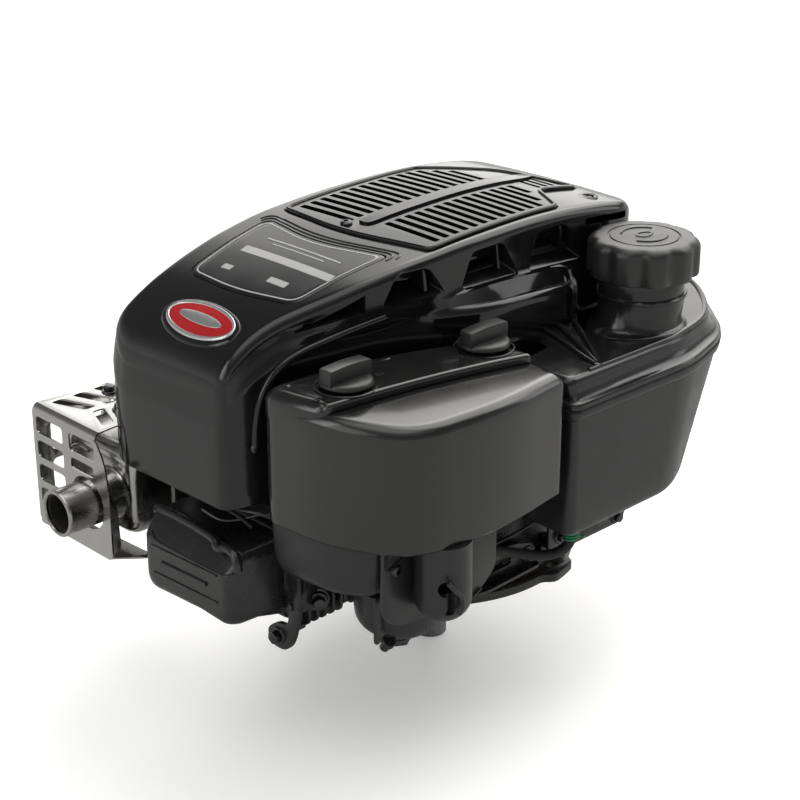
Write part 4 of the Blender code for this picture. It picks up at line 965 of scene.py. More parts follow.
# ================================================================ valve cover
def valve_ring(x, y0, y1, z0, z1, r, tip=0.0):
    """Ring at depth x; tip slants the upper part back towards +X."""
    out = []
    for y, z in rect(y0, y1, z0, z1, r, 8, 3):
        dip = (7.0 * max(0.0, (62 - y) / 106) * max(0.0, 1 - (z - 15) / 50)
               - 2.4 * math.exp(-((y + 27) / 10.0) ** 2) * ease((34 - z) / 10))
        out.append((x + tip * max(0.0, (z - 62.0) / 16.0), y, z + dip * ease((-x - 176) / 20)))
    return out


rings = [valve_ring(*station) for station in (      # (x, y0, y1, z0, z1, radius, tip)
    (-172.6, -44, 62, 15, 81, 9), (-175.0, -44, 62, 15, 81, 9),
    (-176.2, -43.2, 61.2, 15.8, 80.2, 9), (-176.9, -41.6, 59.6, 17.4, 78.8, 9),
    (-178.4, -40.6, 58.6, 18.2, 78.2, 9), (-198, -40.2, 58.2, 18.6, 77.6, 9.5),
    (-212, -39.8, 57.8, 19, 77.2, 10, 2.0))]
for sine, rest in quarter_steps(6):
    d = 9 * rest
    rings.append(valve_ring(-212.5 - 10.5 * sine, -39.6 + d, 57.6 - d, 19.4 + d, 76.8 - d * 0.9,
                            10.5, 3.0 + 11.0 * sine))
rim = [p[1:] for p in rings[-1]]
for t in (0.05, 0.10, 0.16, 0.22, 0.28, 0.34, 0.40, 0.50, 0.62):
    rings.append([(-223.0 + 14.0 * max(0.0, (z - 62.0) / 16.0), y, z)
                  for y, z in toward(rim, (9, 44), t)])
cover = skin([ring[::-1] for ring in rings])
with editing(cover) as bm:      # closes the front
    bm.verts.ensure_lookup_table()
    bm.faces.new(bm.verts[-len(rim):])
    bmesh.ops.triangulate(bm, faces=[f for f in bm.faces if len(f.verts) > 4])
    bmesh.ops.recalc_face_normals(bm, faces=bm.faces)
top_bead = tube([(-206, 58, 71), (-209.5, 55, 76.5), (-211.5, 47, 79.2), (-211.8, 28, 80.0),
                 (-212.6, 6, 80.0), (-214.2, -12, 79.4), (-216.5, -18, 77.2), (-217.0, -22, 76.8),
                 (-216, -27, 78.6), (-216.5, -35, 78.2), (-217.5, -39.5, 74.5),
                 (-218, -41.5, 68)], 3.1, 9)
ribs = [tube([(-223.1, 46, 57.0), (-223.2, 12, 58.6), (-223.2, -25, 60.4)], 0.8, 5),
        tube([(-223.1, 44, 36.8), (-223.2, 12, 38.4), (-223.1, -25, 40.2)], 0.8, 5),
        tube([(-223.0, 34, 47.4), (-223.0, 10, 48.6), (-223.0, -14, 49.8)], 1.5, 9)]
# Thin dark line along the cover's crease: painted shade in the crease
piece(tube([(-219.5, 49, 66), (-222.9, 42, 63.0), (-223.0, 28, 62.0), (-223.0, 6, 62.0),
            (-223.0, -20, 62.6), (-222.6, -32, 63.6), (-220.0, -38.4, 66)], 0.45, 5),
      "valve_cover_crease_shade_line", DARK)
piece(group(cover, top_bead, *ribs), "valve_cover_shell", ENAMEL, "valve_cover", sharp=32)
bolts("valve_cover_bolts", [((-176.6, y, z), (-1, 0, 0), 4.2, 4)
                            for y, z in ((-47.2, 30), (66.0, 52))])
piece(group(*[plate([circle(y, z, 8.4, 40)], -176.6, -172.8, "X", edge=0.5)
              for y, z in ((-46.5, 30), (65.0, 52))]), "valve_cover_ears", ENAMEL)

# ================================================================ head bracket, plug lead, rods
outline = rounded([(-58, 56, 2), (-58, 30, 12), (-50, 2, 10), (-42, -7, 7), (-27, -7, 7),
                   (-23, 4, 6), (-33, 12.5, 8), (-46, 14, 8), (-46, 56, 2)], 8, 2)
piece(group(plate([outline, circle(-35, 2.6, 3.4, 30)], -180.3, -176.9, "X", edge=0.6),
            soft(box((-178.5, -58, 28), (-158, -54.8, 52)), 0.8, 2)),
      "head_bracket_plate", ENAMEL, "head_bracket")
piece(group(hexbolt((-180.4, -35, 2.6), (-1, 0, 0), 4.8, 4.6),
            rod(2.9, (-177, -35, 2.6), (-158, -35, 2.6), seg=24, edge=0.4),
            hexbolt((-165, -59.0, 33), (-0.5, -0.86, 0), 4.8, 5.6),
            rod(8.5, (-160, -50, 33), (-164.5, -58.2, 33), edge=0.6)),
      "head_bracket_bolts", ZINC)

PLUG, PLUG_AXIS = Vector((-137.0, 20.0, 58.0)), Vector((-0.66, 0.34, 0.67)).normalized()
boot = turned([(0, 70), (7.4, 70), (8.6, 68.4), (9.0, 66), (9.0, 52), (9.8, 50.5), (9.8, 48.5),
               (9.0, 47.4), (9.0, 42), (9.7, 41), (9.7, 40), (5.6, 40), (5.6, 57), (0, 57)], 48)
boot.data.transform(facing(PLUG, PLUG_AXIS))
end = PLUG + PLUG_AXIS * 66
lead = tube([PLUG + PLUG_AXIS * 62, (end.x + 3, end.y + 3, 112), (end.x + 12, end.y + 4, 121),
             (-150, 54, 126), (-128, 38, 128), (-116, 14, 126)], 3.4, 8)
piece(group(boot, lead), "plug_cap_and_lead", RUBBER, "plug_boot")
piece(tube([(-196, -30, 88), (-200, -18, 95), (-205, 0, 99), (-203, 30, 102), (-192, 60, 103)],
           1.3, 5), "stop_wire", RUBBER)
piece(tube([(-176, -50, 92), (-188, -34, 96), (-198, -20, 91), (-206, -10, 90), (-210, 4, 94)],
           1.1, 5), "governor_spring_rod", ZINC)
piece(tube([(-168, -52, 84), (-190, -44, 98), (-204, -26, 103), (-208, 0, 104)], 1.1, 5),
      "throttle_link", ZINC)

# ================================================================ muffler
OUT = (112.0, 67.0)             # outlet centre (y, z)


def muffler_ring(x, d):
    return [(x, y, z) for y, z in rect(90 + d, 172 - d, 37 + d, 103.5 - d, 14, 8, 4)]


rings = [muffler_ring(-206 + 10 * rest, 10 * (1 - sine)) for sine, rest in quarter_steps(6, 0)]
rings += [muffler_ring(x, d) for x, d in (      # a shallow bead pressed outwards
    (-190, 0), (-172.5, 0), (-171.5, -0.2), (-170.5, -2.6), (-169.5, -3.2), (-166.5, -3.2),
    (-165.5, -2.6), (-164.5, -0.2), (-163, 0), (-140, 0))]
rings += [muffler_ring(-130 + 10 * sine, 10 * rest) for sine, rest in quarter_steps(6, 0)]
can = cut(solid(rings), rod(14.2, (-230, *OUT), (-192, *OUT), seg=64))
swage = tube([(-206.2, 138, 52), (-206.4, 150, 48), (-206.4, 160, 56), (-206.4, 160, 84),
              (-206.4, 150, 92), (-206.2, 138, 92)], 1.8)
collar = turned([(19.5, 0.2), (19.0, 1.4), (17.0, 1.8), (15.0, 1.2), (15.0, 0.2)], 72,
                (-206.2, *OUT), "X")
collar.data.transform(Matrix.Translation((-1.9, 0, 0)))
inlet = rod(11, (-152, 67, 44), (-152, 95, 44), edge=0.5)
piece(group(can, swage, inlet), "muffler_can", STAINLESS, "muffler_body")
piece(collar, "muffler_collar", TINTED)
piece(turned([(16.9, -253.6), (17.2, -252.6), (16.6, -251.4), (16.5, -222), (17.0, -214),
              (18.5, -208), (20.5, -206.5), (14.0, -206.4), (13.9, -253.0), (14.6, -254.0),
              (16.2, -254.0)], 96, (0, *OUT), "X"), "muffler_outlet_pipe", TINTED,
      "muffler_outlet")
# Dark sleeve and disc inside the outlet: painted shade for the pipe's shaded inside
piece(turned([(13.85, -250.8), (13.85, -200), (13.0, -200), (13.0, -250.8)], 64, (0, *OUT), "X"),
      "outlet_shade_lining", PIPE_SHADE)
piece(rod(13.6, (-201, *OUT), (-199.4, *OUT), seg=48, edge=0.2), "outlet_shade_disc", PIPE_SHADE)

# Guard: sheet over the muffler's -X face, far side and top, with rounded windows
GUARD_Y0, GUARD_Y1, GUARD_Z0, GUARD_Z1, GUARD_X = 96.0, 178.0, 30.0, 124.0, -228.0
NEAR_EDGE = 85.5                # the front sheet's near edge, past the outlet hole
SHEET, FOLD = 1.25, 5.0         # sheet thickness and fold radius
FOLD_X, FOLD_Y, FOLD_Z = GUARD_X + FOLD, GUARD_Y1 - FOLD, GUARD_Z1 - FOLD
windows = [rect(GUARD_Y0 + 42, GUARD_Y1 - 8, z - 13.0, z, 3.5)
           for z in (115.5, 97.0, 78.5, 60.0)]
windows += [rect(GUARD_Y0 + 4, GUARD_Y0 + 34, 101.5, 115.5, 4),
            rect(GUARD_Y0 + 6, GUARD_Y0 + 33, 88.5, 97.0, 3)]
front = plate([rounded([(NEAR_EDGE, GUARD_Z0, 6), (FOLD_Y, GUARD_Z0, 2), (FOLD_Y, FOLD_Z, 1),
                        (GUARD_Y0 + 2, FOLD_Z, 4), (NEAR_EDGE + 2, GUARD_Z1 - 22, 14),
                        (NEAR_EDGE, 70, 20)], 8, 1)] + windows, GUARD_X, GUARD_X + SHEET, "X")
cut(front, rod(19.6, (GUARD_X - 6, *OUT), (GUARD_X + 6, *OUT), seg=72))


def fold(centre, low, high, axis):
    """Quarter-round strip that joins the front sheet to its neighbour."""
    outer = [around(FOLD, 90 + 9 * i, 0, (FOLD_X, centre))[:2] for i in range(11)]
    inner = []
    for i, p in enumerate(outer):
        t = (Vector(outer[min(10, i + 1)]) - Vector(outer[max(0, i - 1)])).normalized()
        inner.append((p[0] - t.y * SHEET, p[1] + t.x * SHEET))
    return plate([outer + inner[::-1]], low, high, axis)


side_fold = fold(FOLD_Y, GUARD_Z0 + 4, FOLD_Z, "Z")
windows = [rect(-212 + i * 19, -198 + i * 19, z0, z1, 4.5)
           for z0, z1 in ((GUARD_Z0 + 14, GUARD_Z0 + 44), (GUARD_Z0 + 51, GUARD_Z1 - 20))
           for i in range(3)]
side = plate([rect(FOLD_X, -158, GUARD_Z0 + 4, FOLD_Z, 1.5)] + windows, GUARD_Y1 - SHEET,
             GUARD_Y1, "Y")
top_fold = fold(FOLD_Z, GUARD_Y0 + 2, FOLD_Y, "Y")
windows = [rounded([(x - 10, GUARD_Y0 + 9, 3), (x, GUARD_Y0 + 9, 3), (x + 10, GUARD_Y0 + 35, 3),
                    (x, GUARD_Y0 + 35, 3)], 5, 1) for x in (-206, -188)]
windows += [rounded([(x, GUARD_Y0 + 41, 3), (x + 10, GUARD_Y0 + 41, 3), (x, GUARD_Y1 - 13, 3),
                     (x - 10, GUARD_Y1 - 13, 3)], 5, 1) for x in (-208, -190, -172)]
top = plate([rounded([(FOLD_X, GUARD_Y0 + 2, 1), (-160, GUARD_Y0 + 8, 6),
                      (-156, GUARD_Y1 - 14, 6), (FOLD_X, FOLD_Y, 1)], 6, 1)] + windows,
            GUARD_Z1 - SHEET, GUARD_Z1)
near_lip = plate([rounded([(GUARD_X + 0.2, GUARD_Z0 + 5, 1), (-220, GUARD_Z0 + 9, 4),
                           (-221.5, 70, 4), (GUARD_X + 0.2, 84, 1)], 6, 1)],
                 NEAR_EDGE, NEAR_EDGE + SHEET, "Y")
low_lip = plate([rounded([(GUARD_X + 0.2, NEAR_EDGE + 5, 1), (-208, NEAR_EDGE - 12, 2),
                          (-202, NEAR_EDGE - 12, 2), (-206, GUARD_Y1 - 30, 3),
                          (GUARD_X + 0.2, FOLD_Y, 1)], 5, 1)], GUARD_Z0, GUARD_Z0 + SHEET)
sheets = [soft(obj, 0.3, 2, 40) for obj in (front, side, top, near_lip, low_lip)]
piece(group(*sheets, side_fold, top_fold), "muffler_guard_sheet", STAINLESS, "muffler_guard",
      sharp=30)
bolts("muffler_guard_screws", [((x, y, GUARD_Z1 + 0.2), (0, 0, 1), 4.2, 3.6)
                               for x, y in ((-190, 120), (-176, 152))])
piece(box((-170, 88, 100), (-164, 100, 124), 0.8, 1), "muffler_guard_tab", STAINLESS)

# ================================================================ fuel tank
# Outlines from above: (x, y, corner radius)
SEAM = [(-27, -160, 8), (96, -161, 16), (156, -143, 24), (208, -84, 24), (212, 30, 12),
        (172, 34, 8), (171, -52, 12), (135, -80, 12), (-27, -98, 6)]
LOW = [(-25, -157, 8), (84, -157, 16), (124, -138, 20), (164, -104, 16), (197, -26, 10),
       (175, -22, 8), (173, -60, 12), (134, -94, 14), (-25, -99, 6)]
DECK = [(-24, -152, 8), (94, -152, 16), (150, -136, 22), (200, -82, 22), (204, 22, 12),
        (175, 27, 8), (174, -54, 12), (137, -82, 12), (-24, -101, 6)]


def tank_rings(corners, *stations):
    """Rings of one outline at (z, inset) stations."""
    return [lift(inset(corners, d, 9, 8), z) for z, d in stations]


def between(a, b, t):
    return [tuple(p[i] + (q[i] - p[i]) * t for i in range(3)) for p, q in zip(a, b)]


below_seam, above_seam = shrink(SEAM, 3), shrink(SEAM, 5)
rings = tank_rings(LOW, (63.5, 7), (63.9, 4.6), (65.0, 2.4), (67.2, 0.8), (70.5, 0))
for t in (0.15, 0.3, 0.45, 0.6, 0.75, 0.9):
    rings += tank_rings(between(LOW, below_seam, t), (70.5 + 79 * t, 0))
rings += tank_rings(below_seam, (150.5, 0))
rings += tank_rings(SEAM, (151.8, 1.6), (152.6, 0.5), (154, 0), (157.2, 0), (158.2, 0.7))
piece(solid(rings), "tank_lower_moulding", SATIN, "fuel_tank_lower")

rings = tank_rings(SEAM, (158.9, 0.7), (159.6, 0), (162.4, 0), (163.6, 0.8), (164.2, 2.2),
                   (164.6, 4.2))
rings += tank_rings(between(above_seam, DECK, 0.4), (166.5, 0))
rings += tank_rings(between(above_seam, DECK, 0.7), (169.5, 0))
rings += tank_rings(DECK, (172.5, 0), *[(172.5 + 6.2 * sine, 5.5 * rest + 0.01)
                                        for sine, rest in quarter_steps(5)])
upper = solid(rings)
CAP = (96.5, -111.5)
NECK_R, CAP_R, CAP_Z = 30.0, 39.5, 215.5
neck = turned([(0, 217.5), (27.8, 217.5), (29.2, 217.0), (NECK_R, 215.6), (30.1, 205), (30.3, 196),
               (30.6, 187), (31.2, 183.0), (32.6, 180.8), (35.6, 179.6), (36.6, 178.8),
               (36.8, 174), (0, 174)], 96, (*CAP, 0))
for v in neck.data.vertices:
    if v.co.z < 195:            # the foot spreads towards -X and draws in elsewhere
        t = (195 - v.co.z) / 20
        dx, dy = v.co.x - CAP[0], v.co.y - CAP[1]
        v.co.x += (dx * 0.22 if dx < 0 else dx * -0.10) * t
        v.co.y += (dy * -0.12) * t
collar = turned([(31.4, 200.2), (32.2, 200.9), (32.2, 202.4), (31.4, 203.2), (29.5, 203.2),
                 (29.5, 200.2)], 96, (*CAP, 0))
gussets = [tube([(24, -86, 184.5), (20.5, -100, 183.6), (15, -122, 181.2), (10.5, -143, 179.0)],
                1.7, 7),
           tube([(38, -86, 184.5), (32, -100, 183.8), (22, -122, 181.4), (12, -144, 179.0)],
                2.1, 7),
           tube([(52, -88, 184.0), (42, -104, 182.8), (27, -126, 180.8), (13, -145, 178.8)],
                1.7, 7),
           rod(3.4, (11.0, -145.5, 176), (11.0, -145.5, 180.6), seg=32, edge=1.2)]
hump = soft(solid([[(8, -145, 177), (16, -146, 177), (56, -92, 177), (58, -82, 177),
                    (18, -82, 177), (12, -100, 177)],
                   [(10.5, -143.5, 178.6), (13, -144, 178.6), (50, -92, 182.4), (52, -83, 183.0),
                    (24, -83, 183.4), (18, -100, 182.2)]]), 1.2, 2, 15)
deck_bead = tube([(0, -147, 178.2), (60, -148, 178.6), (96, -147, 178.6), (146, -131, 178.4),
                  (193, -80, 178.2), (197, -20, 178.0), (198, 18, 177.8)], 2.0, 7)
piece(group(upper, neck, collar, hump, deck_bead, *gussets), "tank_upper_moulding", TANK,
      "fuel_tank_upper", sharp=30)
# Thin dark line in the groove at the tank's seam: painted shade in the groove
piece(tube(lift(inset(SEAM, -0.1, 6, 3), 158.5), 0.55, 3, smooth=False, cyclic=True),
      "tank_seam_shade_line", DARK)

# ---------------------------------------------------------------- filler cap
CAP_SEG = 240
CAP_TOP = CAP_Z + 26.7


def lobes(rise, d, groove=3.0):
    """Ring with ten grip grooves, inset by d."""
    out = []
    for i in range(CAP_SEG):
        a = 2 * math.pi * i / CAP_SEG
        r = CAP_R - d - groove * (0.5 + 0.5 * math.cos(10 * a)) ** 2.2
        out.append((CAP[0] + r * math.cos(a), CAP[1] + r * math.sin(a), CAP_Z + rise))
    return out


def cap_ring(r, z):
    return lift(circle(*CAP, r, CAP_SEG), z)


rings = [lobes(*station) for station in ((0.2, 2.0), (0.8, 0.8), (2.2, 0.1), (10, 0),
                                         (19.5, 0.1))]
for k, (sine, rest) in enumerate(quarter_steps(6), 1):
    rings.append(lobes(19.5 + 7.2 * sine, 7.5 * rest, 3.0 * (1 - 0.75 * k / 6)))
rings += [cap_ring(r, CAP_TOP + rise) for r, rise in (
    (27.5, 0), (25.6, 0.05), (25.2, -0.7), (24.2, -0.7), (23.8, 0.1), (12, 0.5))]
cap = skin(rings, tip=(*CAP, CAP_TOP + 0.6))
hollow = skin([lobes(0.2, 2.0), cap_ring(NECK_R + 2.2, CAP_Z + 0.2),
               cap_ring(NECK_R + 2.2, CAP_Z + 18)], tip=(*CAP, CAP_Z + 18.2))
with editing(hollow) as bm:
    bmesh.ops.reverse_faces(bm, faces=bm.faces)
drop_mid = (CAP[0] - 1, CAP[1])
drop = []
for x, y in circle(0, 0, 1, 40):
    r = 6.2 * (1 + 0.55 * max(0.0, x) ** 6)
    drop.append((drop_mid[0] + r * x, drop_mid[1] + r * y * 0.85))
icon = plate([drop, toward(drop, drop_mid, 0.28)], CAP_TOP - 0.2, CAP_TOP + 1.1)
arcs = [tube([around(16, start + k * 9, CAP_TOP + 0.45, CAP) for k in range(13)], 0.75, 4)
        for start in (20, 200)]
piece(group(cap, hollow, icon, *arcs), "filler_cap", KNOB, "fuel_cap", "fuel_cap", sharp=34)

# ---------------------------------------------------------------- fuel line and clamp
piece(tube([(4, -134, 63.2), (4, -134, 52), (2.5, -133, 42.5), (-6, -128, 36.6),
            (-18, -122, 37.2), (-32, -115, 41.5), (-50, -110, 48.5), (-66, -106, 56.5),
            (-78, -103, 63.5), (-90, -100, 70.5), (-97, -98.6, 72.6), (-106, -98, 73)],
           3.7, 8, steps=6), "fuel_hose", RUBBER, "fuel_line")
coil = [(4 + 5.0 * math.cos(t * 0.35), -134 + 5.0 * math.sin(t * 0.35), 46.8 + 6.4 * t / 54)
        for t in range(55)]
piece(group(tube(coil, 0.95, 5, steps=2),
            tube([(8.8, -133.4, 46.8), (12.6, -134.4, 46.4), (14.4, -138, 46.4)], 0.95, 5),
            tube([(8.9, -135, 53.2), (12.8, -136, 53.6), (13.8, -139, 53.6)], 0.95, 5)),
      "hose_spring_clamp", GREEN, "hose_clamp")

# ================================================================ sump and crankcase
LUGS = (-76, 44, 164)           # degrees round the shaft
BOLT_CIRCLE = 97.5
BOLT_ANGLES = [a for a in range(12, 360, 30) if abs(a - 180) > 30]      # clear of the cylinder
BORE_AXIS_Z = 54


def lug_radius(angle):
    near = min(abs((angle - lug + 180) % 360 - 180) for lug in LUGS)
    return 106 + 7.4 * (1 - ease((near - 5.5) / 5.5))


flange = plate([[around(lug_radius(1.5 * i), 1.5 * i, 0)[:2] for i in range(240)],
                circle(0, 0, 20.6, 64)]
               + [circle(*around(101.6, a, 0)[:2], 4.8, 36) for a in LUGS], 0, 6,
               edge=0.8, angle=40)
wall = turned([(100, 5.5), (96.6, 7.0), (95.6, 9), (95.6, 12.3), (88, 12.3), (88, 5.5)], 128)
boss = turned([(25, 5.5), (23.4, 7), (23.2, 12.6), (19.4, 13), (19.4, 0.9), (20.0, 0.3),
               (22.6, 0.3), (23, 0.8), (23, 5.5)], 96)
rib_angles = [40 * i + math.degrees(0.2) for i in range(9)]
piece(group(flange, wall, boss, *[rod(1.6, around(24, a, 6), around(88, a, 6), seg=16)
                                  for a in rib_angles]), "sump_casting", CAST, "sump", sharp=30)

case = turned([(102, 12.6), (102.6, 13.2), (102.6, 17.4), (101.8, 18.2), (97.4, 18.4),
               (96.0, 19.4), (95.4, 21), (95.4, 84), (94.6, 88.4), (92.2, 91.4), (89, 92.2),
               (24.4, 92.2), (24.0, 93), (24.0, 99.4), (23.4, 100), (13.4, 100), (12.9, 99.4),
               (12.9, 84), (87, 84), (87, 12.6)], 144)
barrel = rod(41, (-84, 0, BORE_AXIS_Z), (-128, 0, BORE_AXIS_Z), seg=96)
cut(case, rod(35.5, (-35.5, 0, BORE_AXIS_Z), (-140, 0, BORE_AXIS_Z), seg=64))
cut(barrel, rod(34.3, (-60, 0, BORE_AXIS_Z), (-140, 0, BORE_AXIS_Z), seg=64))
fins = []
for i in range(5):
    x = -98.5 - i * 7.0
    fins.append(plate([rect(-54, 58, 13, 96, 7, 8), circle(0, BORE_AXIS_Z, 40.6, 64)],
                      x - 1.2, x + 1.2, "X", edge=0.5, seg=1, angle=40))
deck = plate([rect(-50, 58, 12.8, 95, 6), circle(0, BORE_AXIS_Z, 34.3, 64)], -133.6, -128, "X",
             edge=0.7, angle=40)
bosses = [rod(6.2, around(BOLT_CIRCLE, a, 14), around(BOLT_CIRCLE, a, 26), seg=32, edge=0.8)
          for a in BOLT_ANGLES]
oil_boss = rod(11, (58, 66, 30), (72, 82, 30), seg=48, edge=0.8)
cut(oil_boss, rod(7.2, (50, 57, 30), (80, 91, 30), seg=32))
ribs = [rod(1.5, around(95.6, a, 22), around(95.6, a, 86), seg=16)
        for a in (-60, -40, -20, 5, 25, 70, 95, 120)]
piece(group(case, barrel, deck, oil_boss, *fins, *bosses, *ribs), "crankcase_casting", CAST,
      "crankcase", sharp=30)
bolts("sump_bolts", [(around(BOLT_CIRCLE, a, 26.4), (0, 0, 1), 4.0, 3.2) for a in BOLT_ANGLES])
piece(turned([(101.6, 12.3), (101.6, 12.7), (88, 12.7), (88, 12.3)], 128), "sump_gasket", PAPER)

# ================================================================ head, intake, shaft end
parts = [plate([rect(-46, 60, 14, 92, 8, 8)], -172.4, -134.6, "X")]
for i in range(5):
    x = -137.5 - i * 7.2
    parts.append(plate([rect(-52, 64, 10.4, 96.6, 7, 8)], x - 1.2, x + 1.2, "X",
                       edge=0.5, seg=1, angle=40))
piece(group(*parts), "cylinder_head_casting", CAST, "cylinder_head", sharp=30)

piece(group(tube([(CARB_X, CARB_Y + 25, BORE_Z), (CARB_X - 1, CARB_Y + 29, 78.6),
                  (-136, -61, 74), (-147, -56, 70.6), (-150, -52, 70), (-150, -46.4, 70)],
                 8.6, 10),
            plate([rect(CARB_X - 19, CARB_X + 19, 68.5, 89.5, 6, 8)],
                  CARB_Y + 22.6, CARB_Y + 26.4, "Y", edge=0.6),
            plate([rect(-166, -134, 60, 80, 6, 8)], -52, -49, "Y", edge=0.5)),
      "intake_pipe", SATIN, "intake_manifold", sharp=32)

shaft = turned([(0, 39), (40, 39), (40, 28.5), (12.5, 28.2), (12.5, -55), (12.4, -55.6),
                (12.4, -78.9), (11.3, -80), (3.6, -80), (3.3, -79.2), (3.3, -60), (0, -58)], 96)
cut(shaft, box((-2.4, 9.6, -82), (2.4, 14, -38), 0.5, 2))
PIN_X = -26
pin = rod(11, (PIN_X, 0, 38), (PIN_X, 0, 46.4), seg=48, edge=0.5)
web = [(PIN_X - 14 * math.cos(math.radians(a)), 14 * math.sin(math.radians(a)))
       for a in range(-80, 81, 10)]
web += [around(40, a, 0)[:2] for a in range(78, -79, -6)]
web = plate([web], 28.2, 38.8, edge=0.8)
key = box((-2.35, 9.7, -74), (2.35, 13.9, -46), 0.5, 2)
piece(group(shaft, web, pin), "take_off_shaft", STEEL, "crankshaft_pto_end", "crankshaft",
      sharp=30) if False else piece(group(shaft, web, pin), "take_off_shaft", STEEL,
                                    "crankshaft_pto_end", "crankshaft", sharp=30)
piece(key, "take_off_key", ZINC, body="crankshaft")

# ================================================================ control bracket, lever, rods
bracket = plate([rounded([(6, 24, 3), (86, 24, 5), (92, 34, 5), (92, 54, 4), (60, 58, 8),
                          (6, 50, 4)], 6, 1), circle(58, 40, 4.6, 36), rect(22, 44, 31, 37, 3),
                 circle(80, 46, 2.6, 24)], -112.0, -109.8, "Y", edge=0.4, angle=40)
feet = [box((10, -110.5, 26), (26, -100, 30), 0.8, 1),
        box((10, -102.6, 19), (26, -99.6, 29), 0.8, 1)]
hem = plate([rounded([(8, 50.5, 1), (60, 58.2, 6), (91, 54.2, 3), (91, 56.0, 2), (60, 60.0, 8),
                      (8, 52.4, 1)], 5, 1)], -113.2, -109.8, "Y", edge=0.4, seg=1)
piece(group(bracket, *feet, hem), "control_bracket_plate", ENAMEL, "control_bracket", sharp=30)
bolts("control_bolts", [((18, -112.2, 36), (0, -1, 0), 4.4, 3.6),
                        ((80, -112.2, 30), (0, -1, 0), 3.8, 3.2)])
lever = plate([rounded([(53, 32, 4), (63, 32, 4), (62, 46, 4), (38, 56, 3), (35.5, 52, 3),
                        (53, 44, 6)], 6, 1), circle(41, 52.4, 1.4, 20)],
              -116.2, -113.8, "Y", edge=0.4, angle=40)
pivot = group(rod(4, (58, -117.8, 40), (58, -104, 40), edge=0.4),
              rod(5.6, (58, -119.8, 40), (58, -116.4, 40), seg=6, edge=0.5))
piece(group(lever, pivot), "governor_arm", ZINC, "governor_lever", "governor_lever", sharp=30)
rail = plate([rounded([(-78, 20, 3), (0, 20, 3), (0, 34, 3), (-20, 40, 4), (-64, 46, 4),
                       (-78, 40, 4)], 6, 1), circle(-66, 30, 3.2, 24), rect(-50, -24, 26, 32, 3)],
             -104, -101.8, "Y", edge=0.5, angle=40)
rail_lip = plate([rounded([(-78, -104, 2), (0, -104, 2), (-2, -112, 4), (-60, -114, 6),
                           (-76, -108, 4)], 5, 1)], 19, 21.2, edge=0.4)
piece(group(rail, rail_lip), "side_rail", ENAMEL)
bolts("rail_bolts", [((x, -104.2, z), (0, -1, 0), 4.6, 4.0) for x, z in ((-70, 36), (-8, 28))])
piece(tube([(-112, -120, 90), (-100, -124, 84), (-80, -120, 66), (-56, -112, 54), (-20, -108, 52),
            (12, -108, 56)], 1.1, 5), "governor_rod", ZINC)
piece(tube([(-143, -74, 98), (-138, -62, 98), (-120, -56, 98), (-88, -60, 95)], 1.0, 5),
      "choke_rod", ZINC)

# ================================================================ starter grip and oil filler
GRIP_X, GRIP_Z = -18, 176
grip = tube([(-62, 121.4, GRIP_Z), (-50, 120.6, GRIP_Z), (-34, 120, GRIP_Z),
             (GRIP_X, 119.6, GRIP_Z), (-2, 120, GRIP_Z), (14, 120.6, GRIP_Z),
             (26, 121.4, GRIP_Z)], 8.4, 12)
for v in grip.data.vertices:    # waist in the middle, taper at the ends
    t = (v.co.x - GRIP_X) / 44
    s = 1.0 - 0.12 * math.exp(-(t / 0.22) ** 2) - 0.14 * max(0.0, abs(t) - 0.86) / 0.14
    v.co.y = 120.2 + (v.co.y - 120.2) * s
    v.co.z = GRIP_Z + (v.co.z - GRIP_Z) * s
bands = []
for i in (-5, -4, -3, -2, 2, 3, 4, 5):
    x = GRIP_X + i * 7
    bands.append(turned([(8.0, x - 1), (8.75, x - 0.4), (8.75, x + 0.4), (8.0, x + 1)], 48,
                        (0, 120.3, GRIP_Z), "X"))
stem = turned([(0, 105.8), (4.0, 105.8), (5.6, 107.2), (6.2, 110), (6.6, 116), (0, 116)], 48,
              (GRIP_X, 0, GRIP_Z), "Y")
piece(group(grip, stem, *bands), "starter_handle", RUBBER, "starter_grip", "starter_grip",
      sharp=32)
piece(turned([(9.5, 96.6), (10.2, 98), (10.2, 102.6), (9.2, 104), (5.2, 104), (4.4, 103),
              (4.4, 96.6)], 56, (GRIP_X, 0, GRIP_Z), "Y"), "rope_guide", SATIN)

OIL = (OIL_X, OIL_Y) = (98, 117)
filler = tube([(70, 80, 30), (76, 87, 30.5), (84, 97, 35), (92, 108, 46), (97, 115.5, 62),
               (*OIL, 80), (*OIL, 110), (*OIL, 147.6)], 9.4, 12)
neck = turned([(9.2, 140), (12.2, 141), (12.6, 142), (12.6, 146.6), (12.0, 147.8), (9.2, 147.8)],
              64, (*OIL, 0))
clip = group(turned([(9.3, 92), (10.6, 92.4), (10.6, 99.6), (9.3, 100)], 48, (*OIL, 0)),
             box((95, 98, 92.6), (101, 109, 99.4), 0.6, 1))
piece(group(filler, neck), "oil_filler_tube", SATIN, "dipstick_tube", sharp=32)
piece(clip, "oil_tube_clip", ENAMEL)
cap = turned([(0, 170), (12.4, 170), (14.0, 169.2), (14.8, 167.4), (14.8, 150.0), (14.0, 148.6),
              (0, 148.6)], 96, (*OIL, 0))
flutes = [rod(1.5, (x, y, 150.5), (x, y, 167), seg=14) for x, y in circle(*OIL, 14.2, 14)]
bar = plate([rect(OIL_X - 11, OIL_X + 11, OIL_Y - 3.2, OIL_Y + 3.2, 3)], 169.6, 174.5, edge=0.7)
stick = box((96.8, 115.4, 84), (99.2, 118.6, 149), 0.4, 1)
piece(group(cap, bar, *flutes), "dipstick_cap", KNOB, "dipstick", "dipstick",
      sharp=34)
piece(stick, "dipstick_blade", STEEL, body="dipstick")

